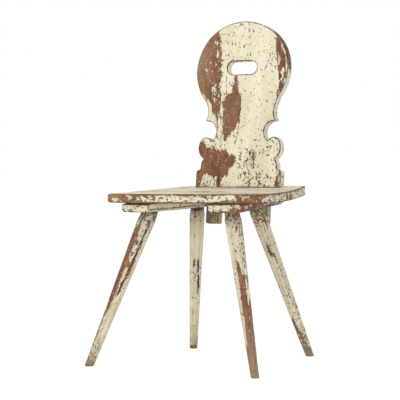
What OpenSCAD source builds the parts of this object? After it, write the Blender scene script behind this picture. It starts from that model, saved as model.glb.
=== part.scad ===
// Plank chair: a board seat on two battens, four splayed octagonal legs and a
// sawn plank back that is tenoned through the seat and pegged underneath.
// Millimetres, +Z up, front towards -Y. The origin is on the floor, midway
// between the feet. The seat and back lean a little on unevenly worn legs.

/* [Stance] */
// Height of the middle of the seat's top above the floor
seat_height = 450; // [380:1:520]
// Lean of the seat and back towards the chair's -X side, in degrees
lean = 1.5; // [0:0.1:3]
// Distance between the centres of the two front feet
front_feet_span = 485; // [400:1:560]
// Distance between the centres of the two back feet
back_feet_span = 355; // [280:1:440]
// Distance from the front feet to the back feet
feet_depth = 450; // [380:1:520]

/* [Seat] */
// Width of the seat near its front
seat_front_w = 470; // [420:1:560]
// Width of the seat at its back edge
seat_back_w = 358; // [300:1:420]
// Depth of the seat between its back edge and its front corners
seat_depth = 376; // [350:1:450]
// How far the front edge bows out past its corners
front_bow = 22; // [5:1:40]
// How far each side bows out between its corners
side_bow = 8; // [0:1:20]
// Length of the rounded front corner along the front edge
front_corner_w = 44; // [20:1:70]
// Length of the rounded front corner along the side
front_corner_d = 66; // [20:1:90]
// Radius of the back corners
back_corner_r = 9; // [3:1:20]
// Thickness of the seat board
seat_t = 24; // [18:1:32]
// Rise of the board's front and back edges, from cupping across its grain
seat_cup = 4; // [1:0.5:8]
// Distance from the seat's back edge to the plank back's front face
back_inset = 53; // [44:1:75]

/* [Battens] */
// Width of a batten
batten_w = 90; // [74:1:110]
// Thickness of a batten below the seat
batten_t = 21; // [16:1:30]
// Distance from the seat's front edge back to a batten's front end
batten_front_inset = 13; // [8:1:40]
// Distance from the seat's back edge to a batten's back end
batten_back_inset = 11; // [5:1:14]
// Distance from the seat's widest side in to a batten's centre line at its front
batten_side_inset = 104; // [80:1:120]
// Distance from the tenon's centre out to the batten's centre line
tenon_off_centre = 2; // [0:0.5:8]
// Bevel along a batten's lower edges
batten_bevel = 6; // [1:0.5:7]
// Radius of a batten's front corners, seen from below
batten_corner_r = 5; // [3:1:16]
// Width of the dovetail tongue on top of a batten, at its root
tongue_w = 50; // [44:1:60]
// Height of the dovetail tongue
tongue_h = 9; // [6:0.5:12]
// How much wider the tongue is at its top than at its root
tongue_flare = 6; // [2:1:10]
// Distance from a batten's front end to the start of its tongue
tongue_setback = 24; // [15:1:40]

/* [Legs] */
// Distance from a batten's front end to its front leg's top
front_leg_inset = 62; // [45:1:90]
// Distance from a batten's back end to its back leg's top
back_leg_inset = 108; // [85:1:130]
// Width of a front leg across its flats, below the neck
front_leg_w = 43.5; // [38:0.5:52]
// Width of a back leg across its flats, below the neck
back_leg_w = 40; // [36:1:48]
// Width of a leg across its flats at the floor
foot_w = 21; // [16:1:30]
// Length of the narrowed neck at a leg's top
neck_len = 24; // [10:1:40]
// Width of a neck at the batten, as a share of the leg's width
neck_share = 0.87; // [0.8:0.01:1]
// Diameter of the round tenon on a leg
leg_tenon_d = 26; // [20:1:30]
// Thickness of a leg wedge at its top
wedge_t = 4; // [2:0.5:6]
// Length of a leg wedge
wedge_len = 20; // [12:1:24]

/* [Back] */
// Thickness of the plank back
back_t = 23.5; // [18:0.5:30]
// Backward tilt of the plank back, in degrees
back_rake = 8; // [4:0.5:14]
// Width of the plank back at the seat
back_base_w = 255; // [220:1:280]
// Height of the shoulders above the seat
shoulder_h = 50; // [30:1:70]
// Half the width of the round head
head_rx = 138; // [125:0.5:150]
// Rise of the head above its widest level
head_rz = 130; // [120:0.5:140]
// Height of the head's widest level above the neck
head_rise = 116; // [100:1:130]
// Sideways shift of the hand-sawn head
head_x = -1.5; // [-4:0.5:4]
// Turn of the hand-sawn head's oval, in degrees
head_turn = 12; // [0:1:20]
// Width of the hand hole
hole_w = 88; // [70:1:120]
// Height of the hand hole
hole_h = 36; // [28:1:50]
// Height of the hand hole's centre above the head's widest level
hole_rise = 5; // [-20:1:30]
// Sideways shift of the hand hole
hole_x = -1; // [-12:1:12]
// Tilt of the hand hole, in degrees
hole_tilt = 1.5; // [-5:0.5:5]

/* [Back tenons] */
// Distance between the centres of the two tenons
tenon_spacing = 146; // [130:1:150]
// Width of a tenon
tenon_w = 37; // [30:1:42]
// Length of a tenon below the batten
tenon_drop = 49; // [30:1:60]
// Radius of a tenon's lower corners
tenon_corner_r = 6; // [2:1:12]
// Diameter of the peg through a tenon
peg_d = 9; // [6:0.5:12]
// Distance from the batten's underside to the peg's centre
peg_below = 9; // [8:0.5:16]
// Distance from the tenon's centre line to the peg, towards the chair's middle
peg_shift = 7; // [0:1:9]

/* [Fit] */
// Clearance between a piece and the socket or face that it meets
fit_gap = 0.2; // [0.1:0.05:0.4]

/* [Hidden] */

LEFT = -1;
RIGHT = 1;
paint = "#ece5cb";
bare_wood = "#b98250";

far = 900;                 // past every edge of the chair, for cutting blocks
arc_steps = 12;            // straight pieces in a short rounded corner
side_steps = 16;           // straight pieces along a long curve
octagon = 8;               // sides of a leg
round_fn = 64;             // round tenons, bores and pegs

// Seat places
seat_back_y = 197;
seat_corner_y = seat_back_y - seat_depth;
seat_mid_y = (seat_back_y + seat_corner_y - front_bow) / 2;
seat_front_x = seat_front_w / 2;
cup_r = pow(seat_depth / 2, 2) / (2 * seat_cup);
cup_fn = 720;              // fine enough to follow the shallow cup

// Batten places, in the seat's frame, whose z is 0 at the seat's top
batten_top_z = -seat_t - fit_gap;
batten_under_z = batten_top_z - batten_t;
tongue_top_z = batten_top_z + tongue_h;
batten_front_x = seat_front_x - batten_side_inset;
batten_front_y = front_edge_y(batten_front_x) + batten_front_inset;
batten_back_y = seat_back_y - batten_back_inset;
plank_y = seat_back_y - back_inset;
tenon_y = plank_y + batten_under_z * tan(back_rake) + back_t / 2;
batten_toe_in = atan((batten_front_x - tenon_spacing / 2 - tenon_off_centre)
    / (tenon_y - batten_front_y));
batten_len = (batten_back_y - batten_front_y) / cos(batten_toe_in);
front_leg_top_y = batten_front_y + front_leg_inset;
back_leg_top_y = batten_back_y - back_leg_inset;

// Back places
neck_h = shoulder_h + 154;
head_h = neck_h + head_rise;
hole_r = hole_h / 2;
tenon_root_h = 30;         // how far a tenon runs up inside the plank
tenon_end_h = batten_under_z / cos(back_rake) - tenon_drop;
peg_h = (batten_under_z - peg_below) / cos(back_rake);

// Half the distance between the battens' centre lines at a given y
function batten_x(y) = batten_front_x - (y - batten_front_y) * tan(batten_toe_in);

// A point of the leaning seat's frame, in the floor's frame
function on_floor(p) = [
    p.x * cos(lean) - p.z * sin(lean),
    p.y,
    seat_height + p.x * sin(lean) + p.z * cos(lean),
];

// Points along an arc about c, from one angle to another
function arc(c, r, from, to, steps = arc_steps) = [
    for (i = [0:steps])
        let (a = from + (to - from) * i / steps)
        [c.x + r * cos(a), c.y + r * sin(a)]
];

// Points along an arc of an ellipse about c
function oval_arc(c, rx, ry, from, to, steps = arc_steps) = [
    for (i = [0:steps])
        let (a = from + (to - from) * i / steps)
        [c.x + rx * cos(a), c.y + ry * sin(a)]
];

// Points along a curve that leaves a towards b and reaches c from b
function bend(a, b, c, steps = arc_steps) = [
    for (i = [0:steps])
        let (t = i / steps)
        (1 - t) * (1 - t) * a + 2 * t * (1 - t) * b + t * t * c
];

// The mirror image of a half outline, in reverse order, joined to it
function both_sides(half) = concat(
    half,
    [for (i = [len(half) - 1:-1:0]) [-half[i].x, half[i].y]]
);

// Places the seat's frame on the floor's frame
module leaning() {
    translate([0, 0, seat_height]) rotate([0, -lean, 0]) children();
}

// ---- Seat ----

// Half of the seat's outline: front edge, round corner, side, back corner
function front_edge_y(x) = seat_corner_y - front_bow * (1 - pow(x / seat_front_x, 2));

function seat_half() =
    let (
        back_x = seat_back_w / 2,
        corner_x = seat_front_x - front_corner_w,
        side_y = seat_corner_y + front_corner_d,
        start = [corner_x, front_edge_y(corner_x)],
        worn = 3,                  // how far wear has set the corner back
        tip = [seat_front_x - worn, seat_corner_y + worn],
        end = [seat_front_x, side_y],
        turn_y = seat_back_y - back_corner_r
    ) concat(
        [for (i = [0:side_steps]) [corner_x * i / side_steps,
            front_edge_y(corner_x * i / side_steps)]],
        bend(start, tip, end),
        [for (i = [1:side_steps])
            let (t = i / side_steps)
            [seat_front_x + (back_x - seat_front_x) * t + side_bow * 4 * t * (1 - t),
                side_y + (turn_y - side_y) * t]],
        arc([back_x - back_corner_r, turn_y], back_corner_r, 15, 90)
    );

// The shallow cup as a lying cylinder that touches z = drop at mid seat
module cup_bore(drop) {
    r = cup_r - drop;
    translate([-far, seat_mid_y, cup_r])
        rotate([0, 90, 0])
            cylinder(r = r, h = 2 * far, $fn = cup_fn);
}

module seat_board() {
    intersection() {
        translate([0, 0, -2 * seat_t])
            linear_extrude(height = 4 * seat_t) polygon(both_sides(seat_half()));
        difference() {
            cup_bore(-seat_t);
            cup_bore(0);
        }
    }
}

module seat() {
    color(paint) leaning() difference() {
        seat_board();
        for (side = [LEFT, RIGHT]) {
            batten_frame(side) tongue(fit_gap, far);
            plank_frame() tenon_bar(side, fit_gap);
        }
    }
}

// ---- Battens ----

// A batten's own frame: x across it, y along it from its front end
module batten_frame(side) {
    translate([side * batten_front_x, batten_front_y, batten_top_z])
        rotate([0, 0, side * batten_toe_in]) children();
}

// Dovetail tongue, wider at its top; grow gives the socket its clearance
module tongue(grow, length) {
    root = tongue_w / 2 + grow;
    top = root + tongue_flare / 2;
    translate([0, length, -grow])
        rotate([90, 0, 0])
            linear_extrude(height = length - tongue_setback + grow)
                polygon([[-root, 0], [root, 0],
                    [top, tongue_h + 2 * grow], [-top, tongue_h + 2 * grow]]);
}

// Bar with rounded front corners and bevelled lower edges
module batten_bar() {
    w = batten_w / 2;
    r = batten_corner_r;
    intersection() {
        translate([0, 0, -batten_t])
            linear_extrude(height = batten_t)
                polygon(concat(
                    arc([w - r, r], r, -90, 0),
                    [[w, batten_len], [-w, batten_len]],
                    arc([r - w, r], r, 180, 270)
                ));
        translate([0, batten_len, 0])
            rotate([90, 0, 0])
                linear_extrude(height = batten_len)
                    polygon([[-w, 0], [-w, batten_bevel - batten_t],
                        [batten_bevel - w, -batten_t], [w - batten_bevel, -batten_t],
                        [w, batten_bevel - batten_t], [w, 0]]);
    }
}

module batten(side) {
    color(paint) difference() {
        leaning() difference() {
            batten_frame(side) union() {
                batten_bar();
                tongue(0, batten_len);
            }
            plank_frame() tenon_bar(side, fit_gap);
        }
        leg_bore(leg_top("front", side), foot("front", side));
        leg_bore(leg_top("back", side), foot("back", side));
    }
}

// ---- Legs ----

// Where a leg's axis meets the batten's underside, and where it meets the floor
function leg_top(end, side) = end == "front"
    ? on_floor([side * batten_x(front_leg_top_y), front_leg_top_y, batten_under_z])
    : on_floor([side * batten_x(back_leg_top_y), back_leg_top_y, batten_under_z]);

function foot(end, side) = end == "front"
    ? [side * front_feet_span / 2, -feet_depth / 2, 0]
    : [side * back_feet_span / 2, feet_depth / 2, 0];

function leg_w(end) = end == "front" ? front_leg_w : back_leg_w;

// Turns the octagon's flats: the left legs show a flat outwards, the right an edge
function leg_twist(side) = side == LEFT ? 180 / octagon : 0;

// Stands a child's z axis along the line from a foot to a leg's top
module along_leg(top, base) {
    d = top - base;
    translate(base) rotate([0, acos(d.z / norm(d)), atan2(d.y, d.x)]) children();
}

function leg_len(top, base) = norm(top - base);

module leg_bore(top, base) {
    along_leg(top, base)
        translate([0, 0, leg_len(top, base) - neck_len])
            cylinder(d = leg_tenon_d + 2 * fit_gap, h = 4 * neck_len, $fn = round_fn);
}

// Keeps what lies below a level of the leaning seat's frame
module below_level(z) {
    intersection() {
        children();
        leaning() translate([-far, -far, z - 2 * far]) cube([2 * far, 2 * far, 2 * far]);
    }
}

module floor_cut() {
    translate([-far, -far, -far]) cube([2 * far, 2 * far, far]);
}

// Eight-sided shaft: tapers to the foot, with a short neck at the top
module shaft(length, width) {
    to_corners = 1 / cos(180 / octagon);
    overrun = foot_w;
    taper = (width - foot_w) / (length - neck_len);
    wide = width * to_corners;
    narrow = wide * neck_share;
    translate([0, 0, -overrun])
        cylinder(d1 = (foot_w - taper * overrun) * to_corners, d2 = wide,
            h = length - neck_len + overrun, $fn = octagon);
    translate([0, 0, length - neck_len])
        cylinder(d1 = wide, d2 = narrow, h = neck_len, $fn = octagon);
    translate([0, 0, length])
        cylinder(d = narrow, h = overrun, $fn = octagon);
}

module leg(end, side) {
    top = leg_top(end, side);
    base = foot(end, side);
    length = leg_len(top, base);
    color(paint) difference() {
        union() {
            below_level(batten_under_z - fit_gap)
                along_leg(top, base) rotate([0, 0, leg_twist(side)])
                    shaft(length, leg_w(end));
            below_level(tongue_top_z)
                along_leg(top, base) translate([0, 0, length - neck_len])
                    cylinder(d = leg_tenon_d, h = 4 * neck_len, $fn = round_fn);
        }
        floor_cut();
        wedge_blank(top, base, fit_gap / 2);
    }
}

// Wedge that spreads a leg's tenon: thick at the top, thin at its lower edge
module wedge_blank(top, base, grow) {
    rise = tongue_top_z - batten_under_z;
    tip = leg_len(top, base) + rise - wedge_len;
    reach = wedge_len + leg_tenon_d;
    half = (wedge_t / 2) * reach / wedge_len;
    along_leg(top, base)
        translate([0, leg_tenon_d, tip])
            rotate([90, 0, 0])
                linear_extrude(height = 2 * leg_tenon_d)
                    polygon([[0, -grow], [half + grow, reach], [-half - grow, reach]]);
}

module wedge(end, side) {
    top = leg_top(end, side);
    base = foot(end, side);
    color(bare_wood) below_level(tongue_top_z) intersection() {
        wedge_blank(top, base, 0);
        along_leg(top, base)
            cylinder(d = leg_tenon_d, h = 2 * far, $fn = round_fn);
    }
}

// ---- Back ----

// The plank's frame: x across it, y up along it, z from its front face to its back
module plank_frame() {
    translate([0, plank_y, 0]) rotate([90 - back_rake, 0, 0]) mirror([0, 0, 1]) children();
}

// Half of the back's outline, from the seat up to the neck: each feature's
// centre is placed from the shoulder's upper corner
function back_half() =
    let (
        base_x = back_base_w / 2,
        shoulder = [base_x, shoulder_h],
        corner_r = 8,
        flank = shoulder + [-47.5, 7],     // the hollowed flank over the shoulder
        flank_r = 35.5,
        scroll = shoulder + [-25.5, 59],   // the lower scroll
        scroll_rx = 21.5,
        scroll_rz = 29,
        bite = shoulder + [-28.5, 102],    // the round bite between the scrolls
        bite_rx = 27,
        bite_rz = 29,
        hook = shoulder + [-27, 135],      // the tip over the bite
        hook_r = 4,
        throat_r = 30,                     // the hook's outer side
        throat = [base_x + 1, neck_h],
        neck_r = 60,
        neck = [throat.x - throat_r + neck_r, neck_h]
    ) concat(
        [[base_x, -tenon_root_h]],
        arc([base_x - corner_r, shoulder_h - corner_r], corner_r, 0, 90),
        arc(flank, flank_r, -6, 40),
        oval_arc(scroll, scroll_rx, scroll_rz, -70, 141, side_steps),
        oval_arc(bite, bite_rx, bite_rz, 239, 86, side_steps),
        arc(hook, hook_r, -60, 40),
        arc(throat, throat_r, 212, 180),
        arc(neck, neck_r, 180, 150)
    );

// The whole outline: the right half, the head's turned oval, the left half
function whole_back() =
    let (
        half = back_half(),
        turn = [[cos(head_turn), -sin(head_turn)], [sin(head_turn), cos(head_turn)]],
        from = -36 - head_turn,
        to = 216 - head_turn
    ) concat(
        half,
        [for (p = oval_arc([0, 0], head_rx, head_rz, from, to, 4 * side_steps))
            turn * p + [head_x, head_h]],
        [for (i = [len(half) - 1:-1:0]) [-half[i].x, half[i].y]]
    );

module back_outline() {
    difference() {
        polygon(whole_back());
        translate([hole_x, head_h + hole_rise]) rotate(hole_tilt) {
            square([hole_w - hole_h, hole_h], center = true);
            for (side = [LEFT, RIGHT])
                translate([side * (hole_w - hole_h) / 2, 0]) circle(r = hole_r, $fn = round_fn);
        }
    }
}

// A tenon's straight bar, from inside the plank to its rounded lower end
module tenon_bar(side, grow) {
    w = tenon_w / 2 + grow;
    r = tenon_corner_r;
    low = tenon_end_h - grow;
    translate([side * tenon_spacing / 2, 0, -grow])
        linear_extrude(height = back_t + 2 * grow)
            polygon(concat(
                [[-w, tenon_root_h], [-w, low + r]],
                arc([r - w, low + r], r, 180, 270),
                arc([w - r, low + r], r, 270, 360),
                [[w, tenon_root_h]]
            ));
}

module peg(side, grow, overrun) {
    translate([side * (tenon_spacing / 2 - peg_shift), peg_h, -overrun])
        cylinder(d = peg_d + 2 * grow, h = back_t + 2 * overrun, $fn = round_fn);
}

module back() {
    color(paint) leaning() difference() {
        union() {
            difference() {
                plank_frame() linear_extrude(height = back_t) back_outline();
                cup_bore_below();
            }
            for (side = [LEFT, RIGHT]) plank_frame() tenon_bar(side, 0);
        }
        for (side = [LEFT, RIGHT]) plank_frame() peg(side, fit_gap / 2, back_t);
    }
}

// All that lies under the seat's top face, with a fit's clearance above it
module cup_bore_below() {
    difference() {
        translate([-far, plank_y - far / 4, -far]) cube([2 * far, far / 2, far + seat_t]);
        cup_bore(fit_gap);
    }
}

module tenon_peg(side) {
    color(bare_wood) leaning() plank_frame() peg(side, 0, 0);
}

seat();
batten(LEFT);  // left_batten
batten(RIGHT);  // right_batten
leg("front", LEFT);  // front_left_leg
leg("front", RIGHT);  // front_right_leg
leg("back", LEFT);  // back_left_leg
leg("back", RIGHT);  // back_right_leg
back();
tenon_peg(LEFT);  // left_tenon_peg
tenon_peg(RIGHT);  // right_tenon_peg
wedge("front", LEFT);  // front_left_wedge
wedge("front", RIGHT);  // front_right_wedge
wedge("back", LEFT);  // back_left_wedge
wedge("back", RIGHT);  // back_right_wedge
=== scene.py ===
import math
from itertools import product
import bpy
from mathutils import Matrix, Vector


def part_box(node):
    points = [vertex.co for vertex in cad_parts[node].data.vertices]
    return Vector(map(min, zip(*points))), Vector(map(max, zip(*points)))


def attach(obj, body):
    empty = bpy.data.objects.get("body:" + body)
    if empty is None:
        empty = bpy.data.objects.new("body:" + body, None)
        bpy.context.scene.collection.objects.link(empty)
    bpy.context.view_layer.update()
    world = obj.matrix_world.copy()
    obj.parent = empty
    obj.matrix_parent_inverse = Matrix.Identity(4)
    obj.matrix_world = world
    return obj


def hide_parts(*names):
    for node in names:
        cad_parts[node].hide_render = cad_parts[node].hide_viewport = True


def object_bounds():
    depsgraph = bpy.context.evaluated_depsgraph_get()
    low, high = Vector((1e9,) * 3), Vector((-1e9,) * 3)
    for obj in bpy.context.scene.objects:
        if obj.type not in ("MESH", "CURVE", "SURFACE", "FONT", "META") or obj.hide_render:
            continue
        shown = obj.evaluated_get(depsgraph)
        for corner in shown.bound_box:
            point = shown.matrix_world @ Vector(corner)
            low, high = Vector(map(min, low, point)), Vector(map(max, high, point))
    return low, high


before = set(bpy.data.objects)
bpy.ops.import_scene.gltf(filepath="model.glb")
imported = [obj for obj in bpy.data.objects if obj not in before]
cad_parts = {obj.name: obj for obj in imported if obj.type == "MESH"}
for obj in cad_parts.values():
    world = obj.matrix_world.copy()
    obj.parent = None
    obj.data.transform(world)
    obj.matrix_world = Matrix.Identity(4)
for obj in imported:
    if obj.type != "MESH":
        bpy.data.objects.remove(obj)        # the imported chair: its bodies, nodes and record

from types import SimpleNamespace

import bpy
import numpy as np
from bpy.props import FloatProperty, FloatVectorProperty, PointerProperty
from mathutils import Vector

CAD_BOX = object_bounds()    # the chair's own box, before any piece is added

bl_info = {
    "name": "Peeling Plank Chair",
    "version": (1, 0, 0),
    "blender": (4, 5, 0),
    "location": "View3D > Sidebar > Chair",
    "description": "Builds a plank chair in peeling cream paint, piece by piece",
    "category": "Add Mesh",
}

MM = 0.001               # one millimetre in metres: shapes are worked out in millimetres
LEFT, RIGHT = -1, 1
SIDES = {"left": LEFT, "right": RIGHT}
FIT_GAP = 0.2            # millimetres left free between the seat and the battens' own frame
THROAT_RISE = 154        # millimetres from the plank's shoulders up to the neck's narrowest place
SEAT_LOW, SEAT_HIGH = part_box("seat")


# ---- Sizes and colours that a user would change ----

def length(name, default, description):
    """A length in metres."""
    return FloatProperty(name=name, default=default, min=0.0, unit="LENGTH", precision=4,
                         description=description)


def angle(name, degrees, description):
    """An angle, given in degrees and kept in radians."""
    return FloatProperty(name=name, default=math.radians(degrees), unit="ROTATION",
                         description=description)


def number(name, default, description, most=1.0):
    """A plain number from 0 up."""
    return FloatProperty(name=name, default=default, min=0.0, max=most, description=description)


def linear(code):
    """A colour written as #rrggbb, as the three linear amounts that a shader takes.

    Each amount is undone from the usual screen curve: a short straight start, then a power."""
    levels = [int(code[at:at + 2], 16) / 255 for at in (1, 3, 5)]
    return tuple(v / 12.92 if v <= 0.04045 else ((v + 0.055) / 1.055) ** 2.4 for v in levels)


def colour(name, code, description):
    """A colour property."""
    return FloatVectorProperty(name=name, default=linear(code), subtype="COLOR", size=3,
                               min=0.0, max=1.0, description=description)


class ChairSeatSizes(bpy.types.PropertyGroup):
    height: length("Height", 0.450, "Height of the middle of the seat's top")
    lean: angle("Lean", 1.5, "Lean of the seat and back towards the left")
    front_w: length("Front width", 0.470, "Width near the front")
    back_w: length("Back width", 0.358, "Width at the back edge")
    bow: length("Front bow", 0.022, "How far the front edge bows out")
    side_bow: length("Side bow", 0.008, "How far each side bows out")
    corner_w: length("Corner width", 0.044, "Length of a front corner along the front")
    corner_d: length("Corner depth", 0.066, "Length of a front corner along the side")
    back_corner: length("Back corner", 0.009, "Radius of the back corners")
    thick: length("Thickness", 0.024, "Thickness of the board")
    cup: length("Cup", 0.004, "Rise of the front and back edges")


class ChairBattenSizes(bpy.types.PropertyGroup):
    batten_w: length("Width", 0.090, "Width of a batten")
    batten_t: length("Thickness", 0.021, "Thickness of a batten")
    front_inset: length("Front inset", 0.013, "Seat's front edge to a batten's front end")
    back_inset: length("Back inset", 0.011, "Seat's back edge to a batten's back end")
    side_inset: length("Side inset", 0.104, "Seat's side in to a batten's centre line")
    toe_in: angle("Toe-in", 9.62, "Turn of a batten towards the middle of the back")
    bevel: length("Bevel", 0.006, "Bevel along the lower edges")
    end_corner: length("End corner", 0.005, "Radius of the front corners")


class ChairLegSizes(bpy.types.PropertyGroup):
    front_span: length("Front feet", 0.485, "Distance between the front feet")
    back_span: length("Back feet", 0.355, "Distance between the back feet")
    feet_depth: length("Feet depth", 0.450, "Distance from the front feet to the back feet")
    front_leg_w: length("Front leg", 0.0435, "Width of a front leg across its flats")
    back_leg_w: length("Back leg", 0.040, "Width of a back leg across its flats")
    foot_w: length("Foot", 0.021, "Width of a leg across its flats at the floor")
    front_leg_inset: length("Front inset", 0.062, "Batten's front end to the front leg")
    back_leg_inset: length("Back inset", 0.108, "Batten's back end to the back leg")
    neck: length("Neck", 0.024, "Length of the narrowed neck under the batten")
    neck_share: number("Neck share", 0.87, "Width of the neck as a share of the leg")


class ChairBackSizes(bpy.types.PropertyGroup):
    plank_inset: length("Inset", 0.053, "Seat's back edge to the plank's front face")
    plank_t: length("Thickness", 0.0235, "Thickness of the plank")
    rake: angle("Rake", 8, "Backward tilt of the plank")
    base_w: length("Base width", 0.255, "Width at the seat")
    shoulder: length("Shoulder", 0.050, "Height of the shoulders above the seat")
    head_rx: length("Head half width", 0.138, "Half the width of the round head")
    head_rz: length("Head rise", 0.130, "Rise of the head above its widest level")
    head_rise: length("Head level", 0.116, "Neck up to the head's widest level")
    head_turn: angle("Head turn", 12, "Turn of the hand-sawn head's oval")
    hole_w: length("Hole width", 0.088, "Width of the hand hole")
    hole_h: length("Hole height", 0.036, "Height of the hand hole")
    hole_tilt: angle("Hole tilt", 1.5, "Tilt of the hand hole")
    tenon_gap: length("Tenon spacing", 0.146, "Distance between the tenons' centres")
    tenon_w: length("Tenon width", 0.037, "Width of a tenon")
    tenon_drop: length("Tenon drop", 0.049, "Length of a tenon below the batten")
    tenon_corner: length("Tenon corner", 0.006, "Radius of a tenon's lower corners")


class ChairFinish(bpy.types.PropertyGroup):
    cream: colour("Cream", "#efe8ce", "The top coat of paint")
    cream_aged: colour("Aged cream", "#dccaa3", "The top coat where it has yellowed")
    cream_grimed: colour("Grimed cream", "#a8977a", "The top coat where dirt has worked in")
    undercoat: colour("Undercoat", "#946449", "The red-brown coat under the cream")
    undercoat_dark: colour("Dark undercoat", "#70432f", "The undercoat where it is thick")
    undercoat_pale: colour("Pale undercoat", "#a0846c", "The undercoat where it has chalked")
    wood: colour("Bare wood", "#a48059", "Weathered wood where both coats are gone")
    wood_dark: colour("Dark wood", "#7d5b3d", "Dark grain of the bare wood")
    soot_brown: colour("Rubbed edge", "#5b4032", "Handled edges, dark with use")
    amber: colour("Amber wood", "#a7753f", "Where bare wood has kept its warm tone")
    # The dirt in cracks and pinholes, and also the tone that painted shade takes: the pieces'
    # shade fields and the dark rims inside bared patches are blended towards it.
    soot: colour("Dirt", "#2b1c14", "Dirt in cracks and pinholes")
    flake: length("Flake", 0.0007, "Height of the paint's broken edges")


class ChairStage(bpy.types.PropertyGroup):
    azimuth: angle("Azimuth", 28.13, "How far the camera stands to the chair's right")
    elevation: angle("Elevation", 3.63, "How far the camera stands above the seat")
    distance: length("Distance", 6.4998, "Camera to the middle of the chair")
    lens: number("Focal length", 223.58, "Focal length in millimetres", most=500)
    floor_size: length("Floor", 14.0, "Width of the floor")


def measures(scene):
    """The chair's sizes in millimetres and radians, with the places that follow from them."""
    m = SimpleNamespace()
    for group in (scene.chair_seat, scene.chair_battens, scene.chair_legs, scene.chair_back):
        for key in type(group).__annotations__:
            is_length = group.bl_rna.properties[key].unit == "LENGTH"
            setattr(m, key, getattr(group, key) / (MM if is_length else 1))
    m.back_y = SEAT_HIGH[1] / MM
    m.corner_y = SEAT_LOW[1] / MM + m.bow
    m.mid_y = (m.back_y + m.corner_y - m.bow) / 2
    m.front_x = m.front_w / 2
    m.under_z = -m.thick - m.batten_t - FIT_GAP
    m.batten_x = m.front_x - m.side_inset
    m.batten_y = front_edge_y(m, m.batten_x) + m.front_inset
    m.batten_back_y = m.back_y - m.back_inset
    m.plank_y = m.back_y - m.plank_inset
    m.head_level = m.shoulder + THROAT_RISE + m.head_rise
    return m


def front_edge_y(m, x):
    """The seat's front edge: a parabola that bows out most in the middle."""
    return m.corner_y - m.bow * (1 - (x / m.front_x) ** 2)


def cup_rise(m, y):
    """How far the cupped seat stands up: it goes by the square of the way from its middle."""
    return m.cup * ((y - m.mid_y) / (m.back_y - m.mid_y)) ** 2


# ---- Frames: each turns points of a piece's own frame into the next frame ----

def seat_to_floor(m, points):
    """The seat's frame, 0 at the middle of its top, leant sideways and lifted to its height."""
    x, y, z = points.T
    c, s = math.cos(m.lean), math.sin(m.lean)
    return np.stack([x * c - z * s, y, m.height + x * s + z * c], axis=-1)


def plank_to_floor(m, points):
    """The plank's frame: x across, y up along it, z in from its front face."""
    x, h, t = points.T
    c, s = math.cos(m.rake), math.sin(m.rake)
    return seat_to_floor(m, np.stack([x, m.plank_y + h * s + t * c, h * c - t * s], axis=-1))


def batten_to_floor(m, points, side):
    """A batten's frame: x across, y back along it from its front end, z up from its top."""
    x, y, z = points.T
    c, s = math.cos(side * m.toe_in), math.sin(side * m.toe_in)
    return seat_to_floor(m, np.stack([side * m.batten_x + x * c - y * s,
                                      m.batten_y + x * s + y * c,
                                      z - m.thick - FIT_GAP], axis=-1))


def leg_axis(m, end, side):
    """A leg's foot on the floor, and its three directions: two across it and one up along it."""
    if end == "front":
        y = m.batten_y + m.front_leg_inset
        foot = np.array([side * m.front_span / 2, -m.feet_depth / 2, 0])
    else:
        y = m.batten_back_y - m.back_leg_inset
        foot = np.array([side * m.back_span / 2, m.feet_depth / 2, 0])
    x = side * (m.batten_x - (y - m.batten_y) * math.tan(m.toe_in))
    top = seat_to_floor(m, np.array([[x, y, m.under_z]]))[0]
    reach = np.linalg.norm(top - foot)
    along = (top - foot) / reach
    turn = math.atan2(along[1], along[0])
    level = np.array([-math.sin(turn), math.cos(turn), 0])
    return foot, np.cross(level, along), level, along, reach


# ---- Noise: a repeatable random surface, worked out for whole arrays at once ----

def lattice(cells, seed):
    """A random number from -1 to 1 for each whole-number lattice point.

    Its coordinates are multiplied by large odd numbers, joined, and mixed twice more."""
    n = (cells[:, 0] * 73856093 ^ cells[:, 1] * 19349663 ^ cells[:, 2] * 83492791
         ^ (seed + 1) * 2654435761) & 0xFFFFFFFF
    n = (n ^ (n >> 15)) * 2246822519 & 0xFFFFFFFF
    n = (n ^ (n >> 13)) * 3266489917 & 0xFFFFFFFF
    return ((n >> 8) & 0xFFFF) / 32767.5 - 1


def noise(points, size, seed):
    """Smooth noise: lattice numbers a size apart, blended with a cubic ease between them."""
    spots = points / size
    cells = np.floor(spots).astype(np.int64)
    part = spots - cells
    ease = part * part * (3 - 2 * part)
    total = np.zeros(len(points))
    for corner in product((0, 1), repeat=3):
        weight = np.prod(np.where(corner, ease, 1 - ease), axis=1)
        total += weight * lattice(cells + corner, seed)
    return total


def rough(points, size, seed, layers=3):
    """Layers of noise, each half as large and half as strong as the one before."""
    return sum(noise(points, np.asarray(size) / 2 ** k, seed + k) / 2 ** k
               for k in range(layers))


# ---- Outlines ----

def run(start, stop, step):
    """Points along a straight line, without its last point."""
    start, stop = np.asarray(start, float), np.asarray(stop, float)
    count = max(1, round(np.linalg.norm(stop - start) / step))
    return start + (stop - start) * (np.arange(count) / count)[:, None]


def oval(centre, rx, ry, start, stop, step):
    """Points along an arc of an ellipse, between two angles in degrees."""
    count = max(3, round(abs(math.radians(stop - start)) * (rx + ry) / 2 / step))
    turn = np.radians(np.linspace(start, stop, count + 1))
    return np.asarray(centre) + np.stack([rx * np.cos(turn), ry * np.sin(turn)], axis=-1)


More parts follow.
